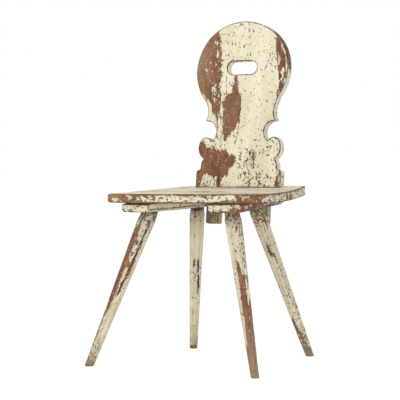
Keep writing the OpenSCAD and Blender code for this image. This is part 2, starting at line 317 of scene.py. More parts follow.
def rounded(corners, radii, step):
    """A closed outline of straight sides whose corners are arcs that touch both sides.

    An arc is the quadratic blend between the points one radius back along each side."""
    corners = np.asarray(corners, float)
    radii = np.broadcast_to(radii, len(corners))
    pieces = []
    back, ahead = np.roll(corners, 1, axis=0), np.roll(corners, -1, axis=0)
    into = (back - corners) / np.linalg.norm(back - corners, axis=1)[:, None]
    out = (ahead - corners) / np.linalg.norm(ahead - corners, axis=1)[:, None]
    starts, stops = corners + into * radii[:, None], corners + out * radii[:, None]
    t = np.linspace(0, 1, 5)[:, None]
    for k in range(len(corners)):
        bend = (1 - t) ** 2 * starts[k] + 2 * t * (1 - t) * corners[k] + t ** 2 * stops[k]
        pieces += [bend, run(stops[k], starts[(k + 1) % len(corners)], step)[1:]]
    return np.concatenate(pieces)


def even(points, step):
    """A closed outline's points moved to even steps of length along it."""
    loop = np.vstack([points, points[:1]])
    reach = np.concatenate([[0], np.cumsum(np.linalg.norm(np.diff(loop, axis=0), axis=1))])
    count = round(reach[-1] / step)
    spots = np.arange(count) * reach[-1] / count
    return np.stack([np.interp(spots, reach, loop[:, k]) for k in (0, 1)], axis=-1)


def outward_2d(loop):
    """The outward direction at each point of an anticlockwise loop."""
    tangent = np.roll(loop, -1, axis=0) - np.roll(loop, 1, axis=0)
    tangent /= np.linalg.norm(tangent, axis=1)[:, None]
    return np.stack([tangent[:, 1], -tangent[:, 0]], axis=-1)


def inside(points, corners):
    """Distance from each point to a polygon's edge, positive inside it and negative outside."""
    corners = np.asarray(corners, float)
    nearest = np.full(len(points), np.inf)
    within = np.zeros(len(points), bool)
    for a, b in zip(corners, np.roll(corners, -1, axis=0)):
        side = b - a
        along = np.clip((points - a) @ side / (side @ side), 0, 1)
        nearest = np.minimum(nearest, np.linalg.norm(points - a - along[:, None] * side, axis=1))
        spans = (a[1] > points[:, 1]) != (b[1] > points[:, 1])
        slope = side[0] / side[1] if side[1] else 0.0
        within ^= spans & (points[:, 0] < a[0] + (points[:, 1] - a[1]) * slope)
    return np.where(within, nearest, -nearest)


# ---- Shells: points and faces of a closed surface ----

def grid_faces(rows, columns, start=0, closed=True):
    """The corner numbers of the quads between the neighbours of a grid, kept row by row."""
    row = np.arange(rows - 1)[:, None] * columns + start
    column = np.arange(columns if closed else columns - 1)[None, :]
    beside = (column + 1) % columns
    return np.stack([row + column, row + beside, row + columns + beside,
                     row + columns + column], axis=-1).reshape(-1, 4)


def weld(points, quads, extra=None):
    """Joins points in the same place, so that seams close and a row of one point is a pole.

    A quad with two corners joined becomes a triangle. Extra columns follow their points."""
    _, first, where = np.unique(np.round(points, 3), axis=0, return_index=True,
                                return_inverse=True)
    quads = where.reshape(-1)[quads]
    same = quads == np.roll(quads, -1, axis=1)
    squares = quads[same.sum(axis=1) == 0]
    pinched = same.sum(axis=1) == 1
    turn = (same[pinched].argmax(axis=1)[:, None] + np.arange(1, 4)) % 4
    triangles = np.take_along_axis(quads[pinched], turn, axis=1)
    points = points[first]
    if volume(points, squares, triangles) < 0:
        squares, triangles = squares[:, ::-1], triangles[:, ::-1]
    return points, squares, triangles, None if extra is None else extra[first]


def face_spans(points, faces):
    """Twice each face's area, as a vector along its outward direction."""
    a, b, c, d = (points[faces[:, k]] for k in (0, 1, 2, -1))
    return np.cross(c - a, d - b)


def volume(points, *kinds):
    """Six times the volume inside a closed shell: negative if it is inside out."""
    return sum(np.sum(points[faces[:, 0]] * face_spans(points, faces)) for faces in kinds)


def facing(points, *kinds):
    """The outward direction at each point: its faces' directions, weighted by area."""
    total = np.zeros_like(points)
    for faces in kinds:
        spans = face_spans(points, faces)
        for k in range(faces.shape[1]):
            np.add.at(total, faces[:, k], spans)
    return total / np.maximum(np.linalg.norm(total, axis=1), 1e-9)[:, None]


def turned_edge(inner, outer, top, base, radius, steps=4, wall=7):
    """Loops down a board's edge: a quarter round, a straight wall and a quarter round.

    inner and outer are the flat face's edge and the wall, one point for one point. Across a
    quarter round the loop goes from inner to outer by the sine and down by one less cosine."""
    radius = np.broadcast_to(radius, len(inner))
    turn = np.linspace(0, math.pi / 2, steps + 1)
    loops = [np.column_stack([inner + (outer - inner) * math.sin(a),
                              top - radius * (1 - math.cos(a))]) for a in turn]
    high, low = top - radius, base + radius
    loops += [np.column_stack([outer, high + (low - high) * k / wall]) for k in range(1, wall)]
    loops += [np.column_stack([inner + (outer - inner) * math.sin(a),
                               base + radius * (1 - math.cos(a))]) for a in turn[::-1]]
    return np.array(loops)


# ---- Materials ----

class Wires:
    """Short words for laying out a material's nodes. Most give back the new node's output."""

    def __init__(self, name):
        self.material = bpy.data.materials.new(name)
        self.material.use_nodes = True
        self.nodes = self.material.node_tree.nodes
        self.links = self.material.node_tree.links
        self.shader = self.nodes["Principled BSDF"]

    def put(self, socket, value):
        """Links a socket to another one, or sets it to a plain value."""
        if isinstance(value, bpy.types.NodeSocket):
            self.links.new(value, socket)
        else:
            socket.default_value = value

    def add(self, kind, inputs=(), **settings):
        """A node of that kind, with its settings and its inputs by number or name."""
        node = self.nodes.new(kind)
        for key, value in settings.items():
            setattr(node, key, value)
        for key, value in dict(inputs).items():
            self.put(node.inputs[key], value)
        return node

    def math(self, operation, a, b=0.0):
        """One arithmetic step on two values."""
        return self.add("ShaderNodeMath", {0: a, 1: b}, operation=operation).outputs[0]

    def plus(self, a, b):
        return self.math("ADD", a, b)

    def minus(self, a, b):
        return self.math("SUBTRACT", a, b)

    def times(self, a, b):
        return self.math("MULTIPLY", a, b)

    def larger(self, a, b):
        return self.math("MAXIMUM", a, b)

    def attribute(self, name):
        """The node that reads one of the piece's fields."""
        return self.add("ShaderNodeAttribute", attribute_name=name, attribute_type="GEOMETRY")

    def field(self, name):
        """A field of plain numbers."""
        return self.attribute(name).outputs["Fac"]

    def stretch(self, vector, by, turn=(0, 0, 0)):
        """Coordinates scaled, and turned if asked. A scale under 1 draws a pattern out."""
        return self.add("ShaderNodeMapping", {"Vector": vector, "Scale": by, "Rotation": turn}
                        ).outputs[0]

    def noise(self, vector, scale, detail=3.0, roughness=0.55, distortion=0.0):
        """Noise from 0 to 1, with scale waves to the metre."""
        return self.add("ShaderNodeTexNoise", {"Vector": vector, "Scale": scale,
                                               "Detail": detail, "Roughness": roughness,
                                               "Distortion": distortion}).outputs["Fac"]

    def swing(self, vector, scale, reach, detail=4.0, roughness=0.6):
        """Noise that swings about 0, by up to half its reach each way."""
        return self.times(self.minus(self.noise(vector, scale, detail, roughness), 0.5), reach)

    def ease(self, value, low, high):
        """0 at low, 1 at high, flat past both and smooth between them. low may be the larger."""
        return self.add("ShaderNodeMapRange", {"Value": value, "From Min": low, "From Max": high},
                        interpolation_type="SMOOTHSTEP").outputs[0]

    def blend(self, amount, a, b, kind="MIX"):
        """From a, where amount is 0, to b, where it is 1."""
        node = self.add("ShaderNodeMix", data_type="RGBA", blend_type=kind)
        self.put(node.inputs["Factor"], amount)
        for socket, value in ((node.inputs[6], a), (node.inputs[7], b)):
            self.put(socket, value if isinstance(value, bpy.types.NodeSocket) else (*value, 1))
        return node.outputs[2]

    def layers(self, tone, *coats):
        """A tone with coats laid over it in order, each an amount and a tone."""
        for amount, coat in coats:
            tone = self.blend(amount, tone, coat)
        return tone

    def bump(self, height, distance):
        """A normal bent by a height, where a height of 1 stands for that distance."""
        return self.add("ShaderNodeBump", {"Height": height, "Distance": distance}).outputs[0]


def wood_layer(w, finish, place):
    """Weathered bare wood: dark and light grain drawn out along the board, warm and stained
    in patches. Gives back the tone and the fine grain."""
    grain = w.stretch(place, (1, 1, 0.06))
    lines = w.noise(grain, 420, 4, 0.6)
    bands = w.noise(grain, 70, 3, 0.5, 0.4)
    warm = w.ease(w.noise(w.stretch(place, (1, 1, 0.3)), 85, 3, 0.6), 0.4, 0.58)
    stain = w.ease(w.noise(w.stretch(place, (1, 1, 0.4)), 110, 4, 0.7), 0.5, 0.66)
    tone = w.layers(finish.wood,
                    (w.ease(bands, 0.38, 0.62), finish.wood_dark),
                    (w.ease(lines, 0.5, 0.7), finish.wood_dark),
                    (w.times(warm, 0.5), finish.amber),
                    (w.times(stain, 0.5), finish.soot_brown))
    return tone, lines


def torn_borders(w, place, drawn, ragged, edge_wear):
    """How far inside a bared patch a point lies, once noise has torn the patch's border.

    The border swings widely, then along the grain, then finely, and chips along the arrises
    are patches of their own. Gives back that depth and the border's movement."""
    wide = w.swing(drawn, 50, 26 * ragged)
    mid = w.swing(w.stretch(place, (1, 1, 0.2)), 160, 32 * ragged, 4, 0.65)
    fine = w.swing(drawn, 430, 14 * ragged, 3)
    moved = w.plus(wide, w.plus(mid, fine))
    chipped = w.plus(w.swing(place, 75, 17, 4, 0.65), w.times(fine, 0.3))
    chipped = w.minus(w.plus(chipped, edge_wear), w.field("arris"))
    return w.larger(w.plus(w.field("bare"), moved), chipped), moved


def flecks_and_crumbs(w, place):
    """Small ragged spots: the highest parts of a fine noise, and its lowest.

    Both are thicker where the field specks asks for them, up to a limit that keeps them
    apart."""
    asked = w.field("specks")
    crowd = w.times(asked, w.ease(w.noise(place, 26, 3), 0.3, 0.66))
    crowd = w.times(w.plus(crowd, w.times(asked, 0.35)), 0.30)
    crowd = w.math("MINIMUM", crowd, 0.12)
    askew = (0.6, 0.4, 0.9)           # so that the flecks don't fall in rows
    grit = w.noise(w.stretch(place, (1, 1, 0.7), askew), 190, 3, 0.6)
    fleck = w.ease(w.plus(grit, crowd), 0.666, 0.678)
    crumb = w.ease(w.minus(grit, w.times(crowd, 0.7)), 0.312, 0.3)
    return fleck, crumb


def pinholes(w, place):
    """A spot in each cell of a net, kept and sized where the field specks asks for it."""
    net = w.blend(0.004, place, w.noise(place, 240, 2), "ADD")
    cells = w.add("ShaderNodeTexVoronoi", {"Vector": net, "Scale": 150, "Randomness": 1.0},
                  feature="F1")
    pick = w.add("ShaderNodeSeparateColor", {0: cells.outputs["Color"]})
    kept = w.minus(w.field("specks"), pick.outputs[0])
    size = w.times(w.ease(kept, 0.0, 0.5), 0.34)
    size = w.times(size, w.plus(pick.outputs[1], 0.35))
    return w.ease(w.minus(size, cells.outputs["Distance"]), 0.0, 0.06)


def cracks(w, drawn):
    """Thin lines where a signed distance, moved about by noise, passes through nothing."""
    wander = w.swing(drawn, 210, 9.0, 4, 0.7)
    breadth = w.plus(w.ease(w.noise(drawn, 120, 3, 0.6), 0.38, 0.6), 0.35)
    lines = []
    for key in ("crack_a", "crack_b", "crack_c", "crack_d"):
        parts = w.add("ShaderNodeSeparateXYZ", {0: w.attribute(key).outputs["Vector"]})
        away = w.math("ABSOLUTE", w.plus(parts.outputs[0], wander))
        half = w.times(parts.outputs[1], breadth)
        lines.append(w.ease(w.minus(half, away), 0.0, 0.35))
    return w.larger(w.larger(lines[0], lines[1]), w.larger(lines[2], lines[3]))


def cream_coat(w, finish, place, drawn, strokes, bare, yellow, grime):
    """Cream: yellowed in clouds, streaked with the brush, thin at its borders, greyed by dirt."""
    clouds = w.noise(place, 14, 4, 0.6)
    smears = w.noise(drawn, 130, 4, 0.7)
    dust = w.noise(place, 520, 3, 0.7)
    dirt = w.ease(w.noise(drawn, 90, 4, 0.65), 0.25, 0.75)
    bands = w.noise(w.stretch(place, (1, 1, 0.12)), 24, 4, 0.6)
    return w.layers(finish.cream,
                    (w.times(w.ease(clouds, 0.35, 0.75), yellow), finish.cream_aged),
                    (w.times(w.ease(strokes, 0.5, 0.75), 0.3), finish.cream_aged),
                    (w.times(w.ease(smears, 0.5, 0.72), grime), finish.cream_aged),
                    (w.times(w.ease(dust, 0.56, 0.72), grime), finish.cream_grimed),
                    (w.times(w.field("grime"), dirt), finish.cream_grimed),
                    (w.times(w.ease(bare, -3.0, 0.0), 0.35), finish.cream_aged),
                    (w.times(w.ease(bands, 0.42, 0.64), grime), finish.cream_grimed))


def undercoat(w, finish, drawn, streak, crumb):
    """Undercoat: mottled, streaked along the grain, with crumbs of cream left on it."""
    mottle = w.ease(w.noise(drawn, 45, 5, 0.7), 0.36, 0.64)
    streaks = w.ease(w.noise(streak, 240, 4, 0.6), 0.45, 0.7)
    pits = w.ease(w.noise(drawn, 300, 4, 0.7), 0.56, 0.66)
    smudge = w.ease(w.noise(drawn, 75, 5, 0.72), 0.5, 0.68)
    return w.layers(finish.undercoat,
                    (mottle, finish.undercoat_dark),
                    (w.times(streaks, 0.22), finish.undercoat_pale),
                    (w.times(w.field("grime"), 0.75), finish.undercoat_pale),
                    (w.times(pits, 0.5), finish.soot),
                    (w.times(smudge, 0.4), finish.soot),
                    (w.times(crumb, 0.85), finish.cream))


def paint_relief(w, place, bare, strokes, holes, open_grain):
    """Relief: the paint's thickness and its lifted rims, then the smaller marks added up."""
    coat = w.ease(bare, 0.5, -0.7)
    lifted = w.times(w.times(w.ease(bare, -3.5, -0.4), coat), 0.5)
    height = w.plus(coat, lifted)
    for mark, amount in ((strokes, 0.22), (w.noise(place, 900, 2), 0.18), (holes, -0.9),
                         (open_grain, 0.6)):
        height = w.plus(height, w.times(mark, amount))
    return height


def peeling_paint(name, finish, yellow=0.35, grime=0.25, ragged=1.0, edge_wear=0.8, rub=0.85):
    """Cream paint over a red-brown undercoat over bare wood, broken along the piece's fields.

    The fields bare and worn say how far inside a bared patch a point lies, in millimetres.
    Noise moves those borders, so that each layer ends in a ragged edge with its own small
    cliff. yellow and grime tint the cream, ragged scales the noise, edge_wear is how far
    chips reach in from the arrises, and rub is how dark the arrises are."""
    w = Wires(name)
    place = w.attribute("place").outputs["Vector"]
    drawn = w.stretch(place, (1, 1, 0.4))
    streak = w.stretch(place, (1, 1, 0.05))
    strokes = w.noise(streak, 300, 3, 0.55)

    bare, moved = torn_borders(w, place, drawn, ragged, edge_wear)
    gone = w.ease(bare, -0.2, 0.2)
    worn = w.plus(w.field("worn"), w.times(moved, 0.6))
    raw = w.times(w.ease(worn, -1.5, 1.5), gone)
    fleck, crumb = flecks_and_crumbs(w, place)
    spot = w.larger(pinholes(w, place), fleck)
    crack = cracks(w, drawn)

    wood, grain = wood_layer(w, finish, place)
    under = undercoat(w, finish, drawn, streak, crumb)
    # rim: a thin dark line just inside each bared patch, painted shadow under the paint's broken
    # edge together with dirt caught there.
    rim = w.times(w.ease(bare, -0.1, 0.2), w.ease(bare, 1.4, 0.4))
    rubbed = w.times(w.ease(w.field("arris"), 3.6, 1.4),
                     w.ease(w.noise(place, 60, 4, 0.65), 0.28, 0.52))
    sooted = w.times(w.ease(w.noise(place, 90, 2), 0.3, 0.5), 0.9)
    chip = w.blend(sooted, finish.undercoat_dark, finish.soot)
    tone = w.layers(cream_coat(w, finish, place, drawn, strokes, bare, yellow, grime),
                    (gone, w.blend(raw, under, wood)),
                    (w.times(rim, 0.35), finish.soot),
                    (w.times(rubbed, rub), finish.soot_brown),
                    (w.times(w.times(spot, w.minus(1, gone)), 0.9), chip),
                    (w.times(crack, 0.9), chip),
                    # Painted shade from the shade field: gaps, contact lines and corners that
                    # other parts shelter are darkened towards the dirt tone.
                    (w.times(w.field("shade"), 0.8), finish.soot))
    w.put(w.shader.inputs["Base Color"], tone)

    matt = w.plus(0.52, w.times(strokes, 0.2))
    w.put(w.shader.inputs["Roughness"], w.plus(matt, w.times(gone, 0.16)))
    w.shader.inputs["Specular IOR Level"].default_value = 0.3
    height = paint_relief(w, place, bare, strokes, w.larger(spot, crack), w.times(grain, raw))
    w.put(w.shader.inputs["Normal"], w.bump(height, finish.flake))
    return w.material


def bare_wood(name, finish, dirt):
    """Bare split wood for pegs and wedges, on the object's own coordinates."""
    w = Wires(name)
    place = w.add("ShaderNodeTexCoord").outputs["Object"]
    tone, lines = wood_layer(w, finish, place)
    stain = w.times(w.ease(w.noise(place, 130, 3), 0.2, 0.6), dirt)
    w.put(w.shader.inputs["Base Color"], w.blend(stain, tone, finish.soot))
    w.put(w.shader.inputs["Roughness"], w.plus(0.7, w.times(lines, 0.2)))
    open_grain = 0.4 * MM
    w.put(w.shader.inputs["Normal"], w.bump(lines, open_grain))
    return w.material


# ---- Pieces ----

def make_piece(name, points, squares, triangles, fields, material, nodes):
    """A mesh in the floor's frame from points in millimetres, with its fields as attributes."""
    mesh = bpy.data.meshes.new(name)
    mesh.from_pydata(points * MM, [], [*squares.tolist(), *triangles.tolist()])
    for key, values in fields.items():
        flat = values.ndim == 1
        layer = mesh.attributes.new(key, "FLOAT" if flat else "FLOAT_VECTOR", "POINT")
        layer.data.foreach_set("value" if flat else "vector",
                               np.ascontiguousarray(values, dtype=np.float32).ravel())
    mesh.shade_smooth()
    mesh.materials.append(material)
    mesh.validate()
    piece = bpy.data.objects.new(name, mesh)
    bpy.context.scene.collection.objects.link(piece)
    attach(piece, "root")
    if nodes:
        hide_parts(*nodes)
    return piece


def weathered(shell, fields, relief=0.35, seed=0):
    """The shell with hand-planed unevenness, sunk a little where its paint has gone."""
    points, squares, triangles = shell
    normals = facing(points, squares, triangles)
    wave = rough(points, 70, seed=seed) * 0.3 + rough(points, 9, seed=seed + 9, layers=2) * 0.1
    sunk = np.clip(fields["bare"] / 2 + 0.5, 0, 1) * relief
    return points + normals * (wave - sunk)[:, None], squares, triangles


def line_field(across, along, knots, half_width):
    """A crack: how far a point lies beside a bent line, and the line's half width there.

    knots are (along, across) points. The width fades to nothing past the line's two ends."""
    ends = np.asarray(knots, float)
    aside = across - np.interp(along, ends[:, 0], ends[:, 1])
    within = np.minimum(along - ends[0, 0], ends[-1, 0] - along)
    return np.column_stack([aside, half_width * np.clip(within / 8, -1, 1), 0 * aside])


def patches(points, shapes):
    """How far inside the nearest of several patches each point lies."""
    return np.max([inside(points, shape) for shape in shapes], axis=0)


def spread(points, spots):
    """A field from 0 to 1 that fades out from soft spots, each (x, y, reach x, reach y, most)."""
    total = np.zeros(len(points))
    for x, y, reach_x, reach_y, most in spots:
        far = ((points[:, 0] - x) / reach_x) ** 2 + ((points[:, 1] - y) / reach_y) ** 2
        total = np.maximum(total, most * np.exp(-far))
    return total


# -- Back --

def back_features(m, step):
    """The right half of the plank's outline from the seat up to the head, feature by feature.

    A straight side, a round shoulder corner, a hollow flank, the lower scroll, the round bite,
    the hook's tip, its throat and the neck: each is an arc placed from the shoulder."""
    x, h = m.base_w / 2, m.shoulder
    foot = 1.5                       # the plank's foot, just under the cupped seat's top
    return [
        run((x, foot), (x, h - 8), step),
        oval((x - 8, h - 8), 8, 8, 0, 90, step),
        oval((x - 47.5, h + 7), 35.5, 35.5, -6, 40, step),
        oval((x - 25.5, h + 59), 21.5, 29, -70, 141, step),
        oval((x - 28.5, h + 102), 27, 29, 238, 86, step),
        oval((x - 27, h + 135), 4, 4, -60, 40, 1.5),
        oval((x + 1, h + THROAT_RISE), 30, 30, 212, 180, step),
        oval((x + 31, h + THROAT_RISE), 60, 60, 180, 150, step),
    ]


def back_outline(m, features, step):
    """The plank's outline in three stretches: its right half, its head, and its left half.

    The left half mirrors the right one. The head is a turned oval, joined on by straight
    runs."""
    right = np.concatenate(features)
    head_centre = np.array([-1.5, m.head_level])
    c, s = math.cos(m.head_turn), math.sin(m.head_turn)
    lobe = oval((0, 0), m.head_rx, m.head_rz, -48, 204, step) @ [[c, s], [-s, c]] + head_centre
    left = right[::-1] * (-1, 1)
    head = np.concatenate([run(right[-1], lobe[0], step)[1:], lobe,
                           run(lobe[-1], left[0], step)[1:]])
    return right, head, left


def back_guide(features):
    """A line inside the right-hand scrolls, with a point for each one of the outline there."""
    ends = np.cumsum([len(f) for f in features])
    starts = np.concatenate([[0], ends[:-1]])
    stops = [0, starts[2], starts[3], starts[4], (starts[4] + ends[4]) / 2, starts[5], starts[7],
             ends[7] - 1]
    places = np.arange(ends[-1])
    neck = features[-1][-1, 1]
    across = np.interp(places, stops, [85, 80, 80, 76, 46, 66, 72, 70])
    up = np.interp(places, stops, [0, 45, 84, 106, 150, 196, 212, neck])
    return np.column_stack([across, up])


def back_rows(guide, right, left, foot, spans):
    """The lower face's rows: from the left side to the mirrored guide, the guide and the right."""
    mirrored = guide * (-1, 1)
    rows = np.concatenate([
        left[:, None] + (mirrored - left)[:, None] * spans[0][None, :, None],
        mirrored[:, None] + (guide - mirrored)[:, None] * spans[1][None, 1:, None],
        guide[:, None] + (right - guide)[:, None] * spans[0][None, 1:, None]], axis=1)
    rows[0, 1:-1] = foot
    return rows


def hole_edge(m, middle, away, grow):
    """The hand hole's rim on every ray from its middle: straight runs between two half rounds.

    A ray meets a straight run at the half height over its sine. Past the run's end it meets
    the half round, by the rule for a line and a circle."""
    turn = np.arctan2(away[:, 1], away[:, 0]) - m.hole_tilt
    r, half = m.hole_h / 2 + grow, (m.hole_w - m.hole_h) / 2
    cos, sin = np.abs(np.cos(turn)), np.maximum(np.abs(np.sin(turn)), 1e-9)
    straight = r / sin
    ends_on = half * cos + np.sqrt(np.maximum(r ** 2 - (half * sin) ** 2, 0))
    reach = np.where(straight * cos <= half, straight, ends_on)
    direction = away / np.linalg.norm(away, axis=1)[:, None]
    return middle + direction * reach[:, None]


def back_shell(m, step=2.2):
    """The plank: one flat map of its face, used at the front and the back, with turned edges.

    The lower face is a grid whose rows run between the two sides by way of a guide inside
    the scrolls. The head's face is a ring of grids from the outline in to the hand hole."""
    features = back_features(m, step)
    right, head, left = back_outline(m, features, step)
    guide = back_guide(features)

    # The foot's points, spread as a row of the lower face is
    outer_steps, inner_steps = 18, 56
    spans = [np.linspace(0, 1, outer_steps + 1), np.linspace(0, 1, inner_steps + 1)]
    x0, x1 = m.base_w / 2, guide[0, 0]
    foot_x = np.concatenate([-x0 + (x0 - x1) * spans[0],
                             x1 * (2 * spans[1][1:] - 1),
                             x1 + (x0 - x1) * spans[0][1:]])[1:-1]
    foot = np.column_stack([foot_x, np.full(len(foot_x), right[0, 1])])

    outer = np.concatenate([right, head, left, foot])
    flat = np.column_stack([outer, np.zeros(len(outer))])
    outer = outer + outward_2d(outer) * (rough(flat, 45, seed=3, layers=2) * 0.35)[:, None]
    radius = 1.9 + 0.7 * rough(flat, 28, seed=7, layers=2)
    radius = np.clip(radius + 1.2 * spread(outer, [(-120, 330, 40, 60, 1), (110, 390, 40, 50, 1)]),
                     1.0, 3.4)
    inner = outer - outward_2d(outer) * radius[:, None]
    n, k = len(right), len(head)
    r_in, h_in, l_in = inner[:n], inner[n:n + k], inner[n + k:n + k + n]

    # Lower face
    guide[:, 1] = np.maximum(guide[:, 1], inner[-len(foot) // 2, 1])
    rows = back_rows(guide, r_in, l_in[::-1], inner[-len(foot):], spans)
    columns = rows.shape[1]
    lower = rows.reshape(-1, 2)

    # Head's face, from its outline in to the hand hole along rays from the hole's middle
    middle = np.array([-1.0, m.head_level + 5])
    rim = np.concatenate([r_in[-1:], h_in, l_in[:1], rows[-1, 1:-1]])
    away = rim - middle
    hole_round = 2.0
    hole_in = hole_edge(m, middle, away, hole_round)
    rings = 36
    face = hole_in[None] + (rim - hole_in)[None] * np.linspace(1, 0, rings + 1)[:, None, None]
    upper = face.reshape(-1, 2)

    edge = turned_edge(inner, outer, 0.0, -m.plank_t, radius)
    bore = turned_edge(hole_in, hole_edge(m, middle, away, 0), 0.0, -m.plank_t, hole_round)
    points, faces = [], []

    def add(block, faces_of, flip):
        """Adds points, and the faces between them, turned over when flip is set."""
        found = faces_of + sum(len(p) for p in points)
        faces.append(found[:, ::-1] if flip else found)
        points.append(block)

    for depth, flip in ((0.0, False), (-m.plank_t, True)):
        for flat_points, found in (
                (lower, grid_faces(len(rows), columns, closed=False)),
                (upper, grid_faces(rings + 1, len(rim)))):
            block = np.column_stack([flat_points, np.full(len(flat_points), depth)])
            add(block, found, flip)
    add(edge.reshape(-1, 3), grid_faces(len(edge), len(outer)), True)
    add(bore.reshape(-1, 3), grid_faces(len(bore), len(rim)), False)
    points = np.concatenate(points)
    points[:, 2] *= -1               # depth now counts in from the front face
    shell = weld(points, np.concatenate(faces))
    return shell[:3], outer, middle


def rounded_bar(profile, stops, end_round, shrink):
    """A bar: a closed profile carried along y, drawn in at both ends and closed to a pole.

    stops are the two ends' places. Near an end the profile shrinks by a quarter round."""
    turn = np.linspace(0, math.pi / 2, 5)
    low, high = stops
    body = np.linspace(low + end_round, high - end_round, round((high - low) / 3) + 1)[1:-1]
    ends = end_round * (1 - np.sin(turn))
    draw = end_round * (1 - np.cos(turn))
    stations = np.concatenate([low + draw, body, high - draw[::-1]])
    inset = np.concatenate([ends, 0 * body, ends[::-1]])
    centre = (profile.max(axis=0) + profile.min(axis=0)) / 2
    half = (profile.max(axis=0) - profile.min(axis=0)) / 2
    loops = [np.column_stack([centre[0] + (profile[:, 0] - centre[0]) * scale[0],
                              np.full(len(profile), at),
                              centre[1] + (profile[:, 1] - centre[1]) * scale[1]])
             for at, scale in zip(stations, 1 - (inset[:, None] + shrink(stations)) / half)]
    caps = np.linspace(0, 1, 9)
    first, last = loops[0], loops[-1]
    pole = np.array([centre[0], 0, centre[1]])
    start = [pole * (1, 0, 1) + (0, low, 0) + (first - pole - (0, low, 0)) * t
             for t in caps[:-1]]
    stop = [pole * (1, 0, 1) + (0, high, 0) + (last - pole - (0, high, 0)) * t
            for t in caps[-2::-1]]
    grid = np.array(start + loops + stop)
    return weld(grid.reshape(-1, 3), grid_faces(len(grid), len(profile)))[:3]


# Patches on the plank's front, and then on its rear face, as (across, up) in millimetres
BACK_BARE = (
    # the broad bare field down the left of the head, running out at the neck
    ((-160, 330), (-125, 400), (-98, 412), (-84, 424), (-71, 408), (-67, 370), (-68, 335),
     (-67, 293), (-64, 262), (-61, 226), (-64, 200), (-69, 162), (-77, 196), (-85, 214),
     (-93, 236), (-112, 250), (-150, 290)),
    # the tall patch below the hand hole
    ((-21, 303), (-15, 288), (-10, 268), (-4, 252), (2, 238), (0, 203), (-4, 184), (-9, 170),
     (-20, 156), (-31, 145), (-44, 130), (-55, 146), (-55, 180), (-54, 215), (-52, 246),
     (-42, 253), (-29, 258), (-27, 285)),
    # the ragged field over the left shoulder
    ((-135, 118), (-118, 135), (-112, 122), (-103, 114), (-90, 112), (-80, 108), (-66, 100),
     (-50, 104), (-38, 103), (-32, 92), (-15, 86), (-10, 66), (-26, 55), (-30, 36), (-54, 30),
     (-80, 31), (-103, 38), (-112, 20), (-116, -5), (-140, -5), (-140, 60)),
    # the sliver down the right of the head
    ((92, 405), (97, 380), (103, 355), (108, 325), (113, 303), (110, 290), (120, 296),
     (113, 270), (108, 248), (114, 250), (126, 285), (136, 310), (140, 345), (128, 385),
     (110, 405)),
    # the strip up from the seat, left of the middle
    ((-65, -5), (-53, -5), (-54, 36), (-64, 36)),
    # the reddish patch among the pinholes, and the rubbed lower right corner
    ((43, 100), (49, 88), (54, 72), (46, 60), (40, 66), (38, 82)),
    ((128, -5), (112, -5), (109, 12), (114, 30), (122, 46), (135, 46)),
)
BACK_LEFT_ON = (
    # cream still on the bared fields
    ((-84, 282), (-79, 270), (-78, 240), (-83, 232), (-88, 252), (-88, 270)),
    ((-78, 372), (-74, 360), (-76, 350), (-81, 356)),
    ((-82, 402), (-76, 392), (-84, 388), (-90, 394)),
    ((-78, 340), (-75, 330), (-78, 326), (-81, 332)),
    ((117, 326), (126, 316), (121, 300), (114, 306)),
    ((113, 350), (117, 345), (113, 341)),
    ((-104, 128), (-96, 134), (-90, 122), (-100, 114)),
)
BACK_REAR_BARE = (
    ((-90, 20), (-40, 60), (-60, 150), (-85, 120), (-120, 60)),
    ((30, 250), (70, 300), (90, 380), (60, 420), (50, 330)),
)
# Regions of the plank in which its edge is bare, as (across, up) in millimetres
BACK_EDGE_BARE = (
    ((75, 470), (160, 470), (160, 312), (120, 312), (90, 400)),
    ((-160, 250), (-100, 250), (-60, 440), (-160, 440)),
    ((-140, 70), (-90, 60), (-100, 150), (-140, 140)),
    ((-140, -5), (-110, -5), (-110, 45), (-140, 45)),
)


